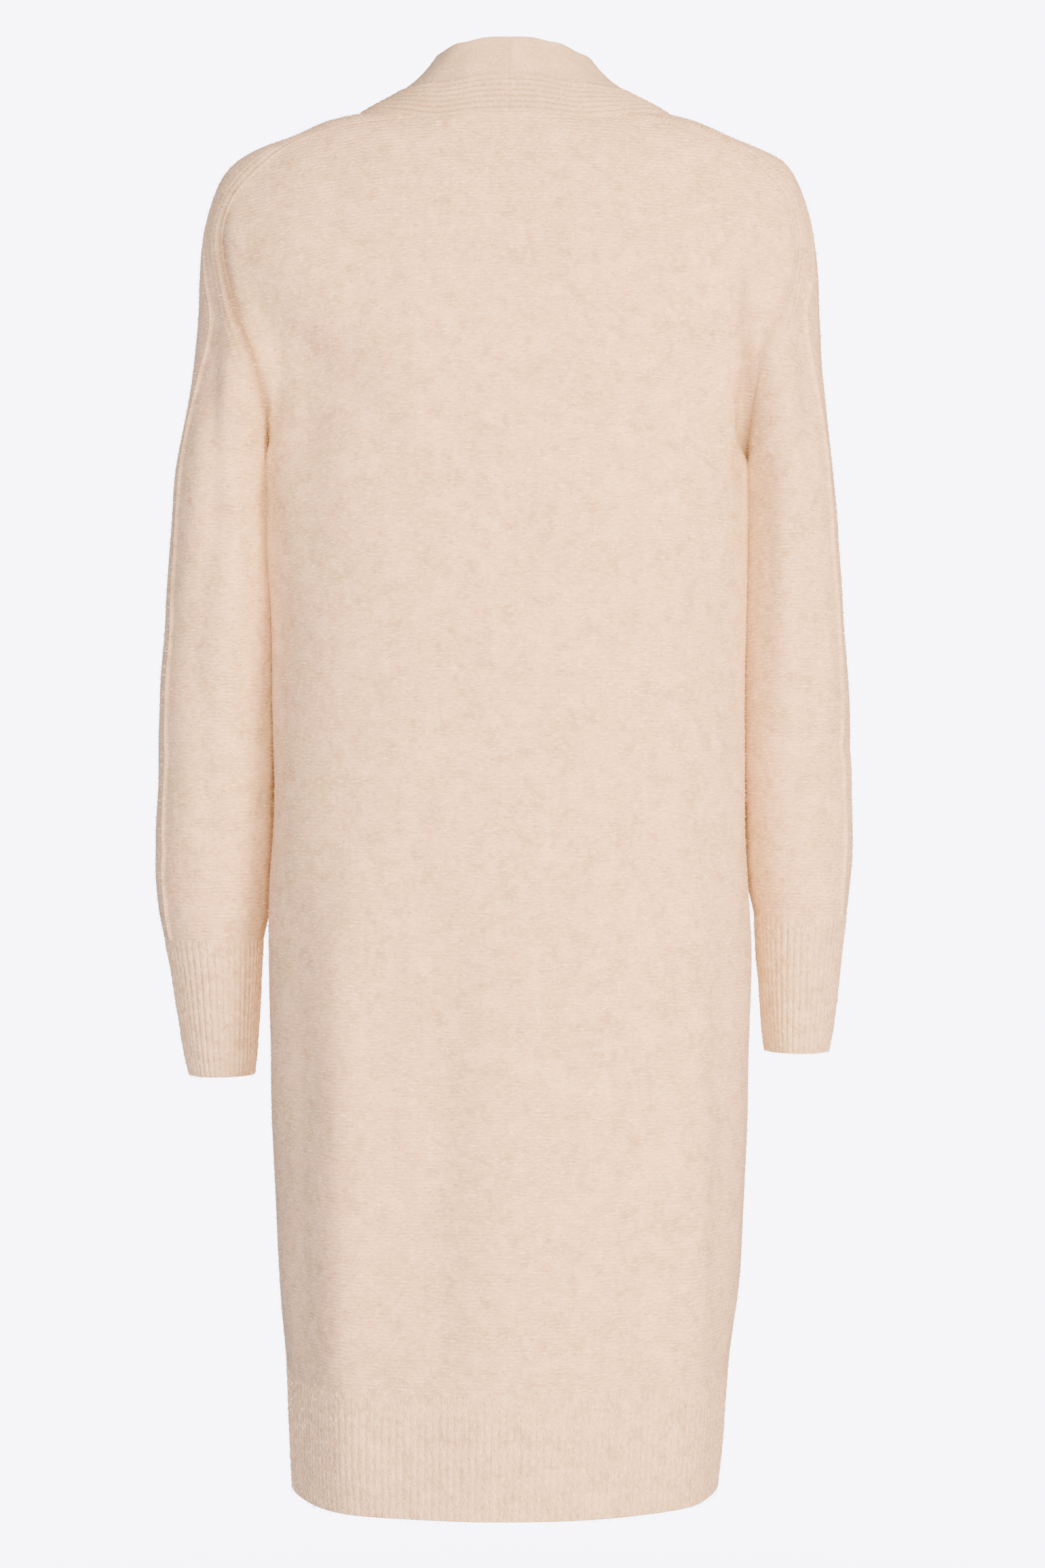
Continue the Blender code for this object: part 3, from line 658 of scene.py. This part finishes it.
BODY_SOFTNESS = Softness(size=60, rise=2.2, seed=1)
# Painted shade in the fold beside each armhole seam of the body.
BODY_FOLD_SHADE = [TuckShade(share=0.8, width=4.5)]
BACK_FOLDS = [
    Fold(112, -540, 110, -990, 20, 8.5),
    Fold(148, -560, 145, -990, 13, -2.6),
    Fold(44, -560, 52, -930, 22, -4.6),
    Fold(-90, -400, -104, -930, 20, -6.5),
    Fold(-124, -560, -128, -970, 15, 4.2),
    Fold(-150, -520, -146, -970, 11, -2.6),
    Fold(-56, -640, -64, -930, 20, 1.6),
    Fold(-128, -300, -140, -520, 20, -3.6),
    Fold(166, -170, 163, -320, 12, 2.6),
    Fold(138, -170, 138, -330, 15, -2.2),
    Fold(-4, -540, 4, -900, 34, 2.0),
    Fold(152, -165, 88, -212, 13, -2.2),
    Fold(-156, -160, -92, -214, 13, -2.4),
    Fold(-150, -240, -100, -262, 12, -1.6),
]
# An upright tuck beside the right armhole, and how much shade is painted into it.
RIGHT_TUCK = Fold(-166, -116, -162, -262, 5.2, 4.4)
RIGHT_TUCK_SHADE = 0.13
HALF_BACK_COLUMNS = 60
HALF_BACK_EASING = 9
back = body_grid(HALF_BACK_COLUMNS, HALF_BACK_EASING, True, 0, HEM_ROW, ROW_SPACING)
right_tuck = folds(back, [RIGHT_TUCK])
back_rise = folds(back, BACK_FOLDS) + softness(back, *BODY_SOFTNESS) - right_tuck
back_rise = back_rise * held(back, ("left", "right", "top"))
body_place = np.linspace(0, BODY_MARKS[HEM_ROW], len(back))[:, None]
from_seam = np.minimum(*from_sides(back))
upper = np.where(back[:, :, 0] > 0, UPPER_CREASE[LEFT], UPPER_CREASE[RIGHT])
crease, fold_shade_mask = armhole(body_place, from_seam, upper)[:2]
# Painted shade: the colour darkens in the folds beside the armholes and in the upright tuck.
back_fold_shade = np.maximum(tuck_shade(fold_shade_mask, from_seam, BODY_FOLD_SHADE), RIGHT_TUCK_SHADE * right_tuck)
back_rise = back_rise + crease
back_panel = cloth("back", "back_panel", back, back_rise, WALL, (), jersey,
                   painted_fold_shade=back_fold_shade, level=True)
back_nap = nap("back_nap", back, back_rise, "body_knit", count=80000, seed=2, **BODY_NAP)

# Fronts
# Two pieces of the same knit, which hang open from the saddles. Each is linked to the band along its front
# edge and to the back down its side.
FRONT_FOLDS = [
    Fold(118, -150, 104, -420, 20, -3.6),
    Fold(126, -420, 120, -900, 22, -5.0),
    Fold(94, -520, 98, -940, 16, 2.6),
    Fold(146, -600, 140, -930, 14, 2.2),
    Fold(146, -205, 100, -262, 12, -2.4),
]
FRONT_COLUMNS = 36
FRONT_EASING = 6
SIDES = ((LEFT, "left"), (RIGHT, "right"))
fronts = {}
front_folds = {}
for side, word in SIDES:
    front = body_grid(FRONT_COLUMNS, FRONT_EASING, False, 0, HEM_ROW, ROW_SPACING, side)
    table = [fold._replace(x=side * fold.x, to_x=side * fold.to_x) for fold in FRONT_FOLDS]
    fronts[side], front_folds[side] = front, table
    rise = (folds(front, table) + softness(front, *BODY_SOFTNESS)) * held(front, ("left", "right", "top"))
    from_seam = from_sides(front)[1 if side == LEFT else 0]
    crease, fold_shade_mask = armhole(body_place, from_seam, UPPER_CREASE[side])[:2]
    rise = rise + crease
    # The fold beside the armhole gets painted shade.
    piece = cloth("front_piece_" + word, "front_" + word, front, rise, WALL, (), jersey,
                  painted_fold_shade=tuck_shade(fold_shade_mask, from_seam, BODY_FOLD_SHADE), level=True)
    fibres = nap("front_nap_" + word, front, rise, "body_knit", count=18000, seed=5 + side, **BODY_NAP)

# Sleeves
# Each is knitted in one piece with its saddle, which lies over the shoulder up to the neck. Raised fashioning
# marks follow both seams of the cap, and one raised wale runs down the back of the arm.
Arm = namedtuple("Arm", "height outer inner back_depth front_depth forward spread drop")
SLEEVE = [
    Arm(-290, 238.3, 168, 63.5, 63.5, 6, 3.3, 0.5),
    Arm(-345, 242.8, 167.4, 61, 61, 12, 3.3, 2),
    Arm(-404, 247.5, 167.5, 58, 58, 18, 3.3, 4),
    Arm(-463, 249.5, 167.9, 55, 55, 22, 3.4, 6),
    Arm(-515, 251.4, 169.2, 52, 52, 25, 4, 7.5),
    Arm(-549, 249.8, 172, 48.5, 48.5, 26, 3.6, 8.5),
    Arm(-573, 246.2, 177.2, 44.5, 44.5, 27, 2.4, 8.5),
]
CUFF = [
    Arm(-598, 241.6, 179, 42.5, 42.5, 28, 1.6, 8.5),
    Arm(-631, 237.6, 181.2, 40, 40, 29, 0.8, 8.5),
    Arm(-656, 234, 183, 37, 37, 30, 0.4, 8.5),
    Arm(-671, 231, 185, 34.5, 34.5, 31, 0, 8.5),
]
CUFF_ROW = UNDERARM + len(SLEEVE)
FASHION_PITCH = 5.4
FASHION_RIBS = 3
FASHION_RISE = 0.45
SEAM_RISE = 0.7
SEAM_FROM_EDGE = 1.3
SEAM_WIDTH = 0.8
WALE_TURN = 38
WALE_REACH = 6.0
WALE_WIDTH = 1.6
WALE_RISE = 1.9
FASHION_STEPS = 18
FRONT_STEPS = 26
WALE_STEPS = 12
BACK_STEPS = 22


def arm_sections(side):
    """All sections of one sleeve and its cuff, with that side's spread and drop."""
    rows = [row._replace(top_x=row.top_x + side * row.spread) for row in SHOULDER]
    for arm in SLEEVE + CUFF:
        height, outer = arm.height - side * arm.drop, arm.outer + side * arm.spread
        rows.append(Section(outer, height, arm.inner, height, arm.back_depth, 180, arm.inner, height,
                            arm.front_depth, 180, arm.forward, 0))
    return rows


def arm_marks(side):
    """Distance of each section down the arm."""
    heights = np.array([arm.height - side * arm.drop for arm in SLEEVE + CUFF])
    return np.concatenate([ROW_MARKS, ROW_MARKS[-1] + SHOULDER[-1].top_z - heights])


def sleeve_stations(row):
    """Distances round a section: close together at the fashioning marks and at the wale."""
    marks = distances(section_line(row))
    total, fashioned = marks[-1], FASHION_PITCH * FASHION_RIBS
    wale = marks[SECTION_STEPS + int(SECTION_STEPS * min(WALE_TURN / row.back_turn, 1))]
    wale = min(wale, total - fashioned - 2 * WALE_REACH)
    return np.concatenate([
        np.linspace(0, fashioned, FASHION_STEPS + 1)[:-1],
        np.linspace(fashioned, wale - WALE_REACH, FRONT_STEPS + 1)[:-1],
        np.linspace(wale - WALE_REACH, wale + WALE_REACH, WALE_STEPS + 1)[:-1],
        np.linspace(wale + WALE_REACH, total - fashioned, BACK_STEPS + 1)[:-1],
        np.linspace(total - fashioned, total, FASHION_STEPS + 1),
    ])


SLEEVE_FOLDS = {
    "left": [
        Fold(209, -110, 205, -300, 9, -4.2), Fold(205, -270, 224, -400, 10, -4.0),
        Fold(220, -380, 206, -540, 10, -3.2), Fold(192, -230, 194, -420, 9, 2.4),
        Fold(188, -500, 244, -518, 8, -2.4), Fold(184, -548, 240, -556, 6, -2.2),
        Fold(186, -432, 236, -450, 10, -2.0),
    ],
    "right": [
        Fold(-206, -100, -214, -320, 10, -3.8), Fold(-212, -300, -204, -520, 10, -3.4),
        Fold(-192, -240, -194, -430, 9, 2.2), Fold(-184, -438, -240, -444, 7, -3.2),
        Fold(-186, -530, -236, -545, 7, -2.4), Fold(-190, -486, -236, -478, 8, -1.8),
    ],
}
SLEEVE_SOFTNESS = Softness(size=45, rise=1.2, seed=10)
# Painted shade in the fold beside the armhole seam, and a lighter wash of it where the sleeve presses on the
# body.
SLEEVE_FOLD_SHADE = [TuckShade(share=0.4, width=4), TuckShade(share=0.48, width=11)]
PRESSED_SHADE = 0.2
# Painted shade in the grooves beside the cap's seams: distance from the seam, width, and depth, which is how
# dark.
GrooveShade = namedtuple("GrooveShade", "from_seam width depth")
SEAM_GROOVE_SHADE = [GrooveShade(from_seam=0, width=0.7, depth=1.0), GrooveShade(from_seam=3.0, width=0.8, depth=0.5)]
sleeves = {}
for side, word in SIDES:
    sections = arm_sections(side)
    stations = [sleeve_stations(row) for row in sections]
    rows = np.array([at_distances(section_line(row), places) for row, places in zip(sections, stations)])
    marks = arm_marks(side)
    sleeve = between_rows(rows, marks, 0, CUFF_ROW, ROW_SPACING)
    round_it = between_rows(np.array(stations)[:, :, None], marks, 0, CUFF_ROW, ROW_SPACING)[:, :, 0]
    place = np.linspace(0, marks[CUFF_ROW], len(sleeve))[:, None]
    from_seam = np.minimum(round_it, round_it[:, -1:] - round_it)
    fashion_rise = FASHION_RISE * 0.5 * (1 - np.cos(2 * math.pi * from_seam / FASHION_PITCH))
    fashion_rise *= (from_seam < FASHION_RIBS * FASHION_PITCH) * fading(place, CAP_SIDE, UNDER_FOLD)
    wale_column = FASHION_STEPS + FRONT_STEPS + WALE_STEPS // 2
    from_wale = round_it - round_it[:, wale_column:wale_column + 1]
    wale_rise = WALE_RISE * np.exp(-((from_wale / WALE_WIDTH) ** 2)) * (1 - fading(place, CAP_TOP, CAP_SIDE))
    seam_rise = SEAM_RISE * np.exp(-(((from_seam - SEAM_FROM_EDGE) / SEAM_WIDTH) ** 2))
    seam_rise *= fading(place, CAP_MIDDLE, CAP_FOOT)
    crease, fold_shade_mask, pressed = armhole(place, from_seam, UPPER_CREASE[side])
    painted_fold_shade = np.maximum(tuck_shade(fold_shade_mask, from_seam, SLEEVE_FOLD_SHADE), PRESSED_SHADE * pressed)
    plain = sleeve if side == LEFT else sleeve * (-1, 1, 1)
    loose = np.clip(np.minimum(from_seam, place) / HELD_REACH, 0, 1)
    rise = fashion_rise + wale_rise + seam_rise + crease
    rise = rise + (folds(plain, SLEEVE_FOLDS[word]) + softness(plain, *SLEEVE_SOFTNESS)) * loose
    # Painted shade beside the cap's seams.
    painted_groove_shade = sum(groove.depth * np.exp(-(((from_seam - groove.from_seam) / groove.width) ** 2))
                 for groove in SEAM_GROOVE_SHADE) * fading(place, CAP_UPPER, CAP_LOWER)
    if side == RIGHT:
        sleeve = sleeve[:, ::-1] * (-1, 1, 1)
        rise, painted_groove_shade, painted_fold_shade = rise[:, ::-1], painted_groove_shade[:, ::-1], painted_fold_shade[:, ::-1]
    sleeves[side] = sleeve
    piece = cloth("sleeve_piece_" + word, "sleeve_" + word, sleeve, rise, WALL, (), jersey,
                  painted_groove_shade, painted_fold_shade)
    fibres = nap("sleeve_nap_" + word, sleeve, rise, "sleeve_knit", count=40000, length=3.8, lift=0.6,
                 lay=0.0, seed=20 + side)

# Cuffs
# Close ribbing of the same brushed wool, which draws the end of the sleeve in. It is knitted on below the
# sleeve without a cross seam and ends in a soft edge.
CUFF_RIBS = 46
CUFF_LENGTH = 98
CUFF_ROW_SPACING = 7
CUFF_RIB_SHARE = 0.75
CUFF_RIB_START = 7
RIB_RISE = 0.9
RIB_SINK = 0.35
RIB_ROUNDNESS = 0.6
TROUGH_SHARPNESS = 1.5
# Painted shade in the troughs between ribs.
TROUGH_SHADE = 0.65
POINTS_A_RIB = 6
RIB_NAP = {"length": 3.2, "lift": 0.45, "lay": 1.2}
# The ribbing: its streaks run down the ribs, and its rows hardly show beside them.
ribbing = brushed_wool_knit("brushed_wool_ribbing", streak=(1.3, 6), course=1.5, row_relief=0.25,
                            yarn=("DDCCB4", "E2CBBB"), pale=1.0)


def rib_shape(turns):
    """Height across ribs, from nothing in the narrow troughs to one on the round crests."""
    return np.abs(np.sin(math.pi * turns)) ** RIB_ROUNDNESS


def ribs(count, columns):
    """Rise across upright ribs that begin and end in a trough."""
    return (RIB_RISE + RIB_SINK) * rib_shape(np.arange(columns) / (columns - 1) * count) - RIB_SINK


def rib_troughs(count, columns):
    """One in the narrow troughs between ribs, and nothing on their crests."""
    return (1 - rib_shape(np.arange(columns) / (columns - 1) * count)) ** TROUGH_SHARPNESS


for side, word in SIDES:
    columns = CUFF_RIBS * POINTS_A_RIB
    rows = np.array([evenly(section_line(row), columns) for row in arm_sections(side)])
    cuff = between_rows(rows, arm_marks(side), CUFF_ROW, CUFF_ROW + len(CUFF), CUFF_ROW_SPACING)
    if side == RIGHT:
        cuff = cuff[:, ::-1] * (-1, 1, 1)
    begun = 1 - fading(np.linspace(0, CUFF_LENGTH, len(cuff))[:, None], 0, CUFF_RIB_START)
    rise = CUFF_RIB_SHARE * ribs(CUFF_RIBS, columns + 1) * begun + softness(cuff, *SLEEVE_SOFTNESS)
    rise = rise + folds(cuff, SLEEVE_FOLDS[word])
    painted_groove_shade = TROUGH_SHADE * rib_troughs(CUFF_RIBS, columns + 1) * begun
    piece = cloth("cuff_piece_" + word, "cuff_" + word, cuff, rise, WALL, ("bottom",), ribbing,
                  painted_groove_shade)
    fibres = nap("cuff_nap_" + word, cuff, rise, "rib_knit", count=7000, seed=40 + side, **RIB_NAP)

# Hem
# The same ribbing round the foot of the back and of each front, seamed at the sides. It draws the cloth in
# only a little, and its lower edge is soft.
HemPiece = namedtuple("HemPiece", "word side half_ribs ribs easing folds flat_width fibres")
HEM_PIECES = [
    HemPiece("back", LEFT, 44, 88, HALF_BACK_EASING, BACK_FOLDS, 0.44, 15000),
    HemPiece("front_left", LEFT, 26, 26, FRONT_EASING, front_folds[LEFT], 0.15, 5000),
    HemPiece("front_right", RIGHT, 26, 26, FRONT_EASING, front_folds[RIGHT], 0.15, 5000),
]
HEM_DEPTH = HEM_TOP - BODY[-1].height
HEM_ROW_SPACING = 8
HEM_RIB_SHARE = 0.45
HEM_RIB_START = 22
hems = {}
for part in HEM_PIECES:
    hem = body_grid(part.half_ribs * POINTS_A_RIB, part.easing, part.word == "back", HEM_ROW, LAST_ROW,
                    HEM_ROW_SPACING, part.side)
    points = part.ribs * POINTS_A_RIB + 1
    begun = 1 - fading(np.linspace(0, HEM_DEPTH, len(hem))[:, None], 0, HEM_RIB_START)
    rise = (folds(hem, part.folds) + softness(hem, *BODY_SOFTNESS)) * held(hem, ("left", "right"))
    rise = rise + HEM_RIB_SHARE * ribs(part.ribs, points) * begun
    # Painted shade in the troughs between ribs.
    painted_groove_shade = TROUGH_SHADE * rib_troughs(part.ribs, points) * begun
    hems[part.word] = hem
    piece = cloth("hem_" + part.word, "hem_rib_" + part.word, hem, rise, WALL, ("bottom",), ribbing,
                  painted_groove_shade)
    fibres = nap("hem_nap_" + part.word, hem, rise, "rib_knit", count=part.fibres,
                 seed=60 + part.ribs + part.side, **RIB_NAP)

# Band
# One long strip up each front and round the neck, joined at the centre of the back. Its sewn half is ribbed
# along its length and its free half is plain, and it stands up softly behind the neck.
BandStep = namedtuple("BandStep", "distance across deep up hollow")
BAND_STEPS = [
    BandStep(0, 0, -13, 56, 0), BandStep(32, -12, -15, 57, 1), BandStep(64, -29, -14, 55.5, 3),
    BandStep(98, -44, -12, 45.5, 5), BandStep(132, -54, -4, 38.5, 5.5), BandStep(167, -48, -10, 27, 4),
    BandStep(195, -45, -18, 20, 1.5), BandStep(229, -50, -20, 10, 0), BandStep(271, -56, -13, 3, 0),
    BandStep(333, -58, -7, 0, 0), BandStep(420, -58, -5, 0, 0), BandStep(1300, -58, -5, 0, 0),
]
BAND_RIBS = 7
BAND_RIB_PITCH = 4.3
BAND_RIB_RISE = 1.3
BAND_WIDTH = 58
BAND_PLAIN_STEPS = 9
BAND_WALL = 2.6
BAND_SPACING = 7
BAND_SOFTNESS = Softness(size=50, rise=1.0, seed=70)
# Painted shade in the band's rib troughs and in the groove of its join at the centre of the back.
BAND_TROUGH_SHADE = 0.95
BAND_JOIN_PLACES = (0, 0.6, 1.3, 2.2, 3.4)
BAND_JOIN_LAP = 0.4
BAND_JOIN_WIDTH = 0.9
BAND_JOIN_SINK = 0.4
BAND_JOIN_SHADE = 0.6
# A hollow takes its full depth at two thirds of the width, where share * share * (1 - share) is 4/27.
HOLLOW_PEAK = 27 / 4
# The band: a tighter knit with little pale fibre on it, so it looks smoother, and a darker, greyer ground
# that is painted shade for the band turning away from the light.
band_knit = brushed_wool_knit("brushed_wool_band_painted_darker", streak=(3.5, 1.3), course=1.5, row_relief=0.3,
                              yarn=("CFC0AB", "D3BFAE"), pale=0.45)
for side, word in SIDES:
    turned = slice(None) if side == RIGHT else slice(None, None, -1)
    neck, middle = back[0][turned], len(back[0]) // 2
    edge = 0 if side == LEFT else -1
    line = np.concatenate([
        neck[middle:], sleeves[side][0][turned][1:], fronts[side][0][turned][1:], fronts[side][1:, edge],
        hems["front_" + word][1:, edge]])
    places = np.linspace(0, distances(line)[-1], round(distances(line)[-1] / BAND_SPACING))
    line = at_distances(line, np.concatenate([BAND_JOIN_PLACES, places[1:]]))
    steps = np.array([interpolate(BAND_STEPS, place) for place in distances(line)])
    steps[:, 0] *= side
    ribbed_width = BAND_RIBS * BAND_RIB_PITCH
    across = np.concatenate([
        np.linspace(0, ribbed_width, BAND_RIBS * POINTS_A_RIB + 1)[:-1],
        np.linspace(ribbed_width, BAND_WIDTH, BAND_PLAIN_STEPS + 1)])
    share = (across / BAND_WIDTH)[:, None]
    band = line[None] + share[:, :, None] * steps[None, :, :3]
    band[:, :, 2] -= HOLLOW_PEAK * steps[None, :, 3] * share * share * (1 - share)
    band[:, 0, 0] -= side * BAND_JOIN_LAP
    ribbed = across < ribbed_width
    shape = rib_shape(across / BAND_RIB_PITCH)
    join = np.exp(-((distances(line) / BAND_JOIN_WIDTH) ** 2))[None, :]
    rise = np.where(ribbed, BAND_RIB_RISE * shape - RIB_SINK, 0)[:, None] - BAND_JOIN_SINK * join
    # Painted shade in the rib troughs and at the join.
    painted_groove_shade = np.where(ribbed, (1 - shape) ** TROUGH_SHARPNESS, 0)[:, None]
    painted_groove_shade = BAND_TROUGH_SHADE * np.maximum(painted_groove_shade, BAND_JOIN_SHADE * join)
    band, rise, painted_groove_shade = band[::-1], rise[::-1], painted_groove_shade[::-1]
    if side == LEFT:
        band, rise, painted_groove_shade = band[:, ::-1], rise[:, ::-1], painted_groove_shade[:, ::-1]
    rise = rise + softness(band, *BAND_SOFTNESS) * held(band, ("bottom",))
    piece = cloth("band_half_" + word, "band_" + word, band, rise, BAND_WALL, ("top",), band_knit,
                  painted_groove_shade)
    fibres = nap("band_nap_" + word, band, rise, "band_knit", count=6500, length=2.2, lift=0.4, lay=0.0,
                 seed=80 + side)

# Studio
# A pale floor that fades out into a near-white backdrop, a soft lamp from the camera's right, a weaker one
# behind the camera and one for the front. The lamps are warm and the room's own light is cool, so the
# floor's paint and the backdrop are cool enough to come out neutral.
FLOOR_HEIGHT = -1.32
FLOOR_RADIUS = 4
LAMP_TINT = "FFD198"
floor_material = bpy.data.materials.new("pale_floor")
floor_material.use_nodes = True
tree = floor_material.node_tree
tree.nodes.clear()
place = add(tree, "ShaderNodeTexCoord").outputs["Object"]
away = add(tree, "ShaderNodeVectorMath", {"operation": "LENGTH"}, {0: place})
fade = add(tree, "ShaderNodeMapRange", {
    "interpolation_type": "SMOOTHSTEP", "From Min": 0.3, "From Max": 1.7, "To Min": 0.72},
    {"Value": away.outputs["Value"]})
paint = add(tree, "ShaderNodeBsdfPrincipled", {"Base Color": linear("A6C0F5"), "Roughness": 0.9})
clear = add(tree, "ShaderNodeBsdfTransparent")
mixed = add(tree, "ShaderNodeMixShader", links={
    0: fade.outputs["Result"], 1: paint.outputs["BSDF"], 2: clear.outputs["BSDF"]})
add(tree, "ShaderNodeOutputMaterial", links={"Surface": mixed.outputs["Shader"]})
bm = bmesh.new()
bmesh.ops.create_circle(bm, cap_ends=True, radius=FLOOR_RADIUS, segments=64)
floor_mesh = bpy.data.meshes.new("floor")
bm.to_mesh(floor_mesh)
bm.free()
floor_mesh.materials.append(floor_material)
floor = bpy.data.objects.new("floor", floor_mesh)
floor.location.z = FLOOR_HEIGHT
bpy.context.scene.collection.objects.link(floor)
floor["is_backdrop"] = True

world = bpy.data.worlds.new("studio")
world.use_nodes = True
tree = world.node_tree
tree.nodes.clear()
room = add(tree, "ShaderNodeBackground", {"Color": linear("EDF0FF"), "Strength": 0.66})
backdrop = add(tree, "ShaderNodeBackground", {"Color": linear("EDEBFF"), "Strength": 9.6})
seen = add(tree, "ShaderNodeLightPath")
mixed = add(tree, "ShaderNodeMixShader", links={
    0: seen.outputs["Is Camera Ray"], 1: room.outputs["Background"], 2: backdrop.outputs["Background"]})
add(tree, "ShaderNodeOutputWorld", links={"Surface": mixed.outputs["Shader"]})
bpy.context.scene.world = world

TARGET = Vector((0, 0, -0.45))
for name, place, size, power in (
    ("key_lamp", (-1.8, 2.4, 0.2), 1.1, 225),
    ("camera_lamp", (0.0, 2.9, -0.3), 1.2, 180),
    ("front_lamp", (0.5, -2.9, 0.3), 1.8, 300),
):
    lamp = bpy.data.lights.new(name, "AREA")
    lamp.shape = "DISK"
    lamp.size = size
    lamp.energy = power
    lamp.color = linear(LAMP_TINT)[:3]
    holder = bpy.data.objects.new(name, lamp)
    holder.location = place
    holder.rotation_euler = (TARGET - holder.location).to_track_quat("-Z", "Y").to_euler()
    bpy.context.scene.collection.objects.link(holder)

lens = bpy.data.cameras.new("camera")
lens.lens = 77.12
lens.sensor_width = 36
camera = bpy.data.objects.new("camera", lens)
camera.location = (-0.0097, 2.4, -0.470)
camera.rotation_euler = (math.pi / 2, 0, math.pi)
bpy.context.scene.collection.objects.link(camera)
bpy.context.scene.camera = camera

boxes = {"solids": solid_box, "pieces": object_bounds()}
boxes = {key: [[float(x) for x in corner] for corner in box] for key, box in boxes.items()}
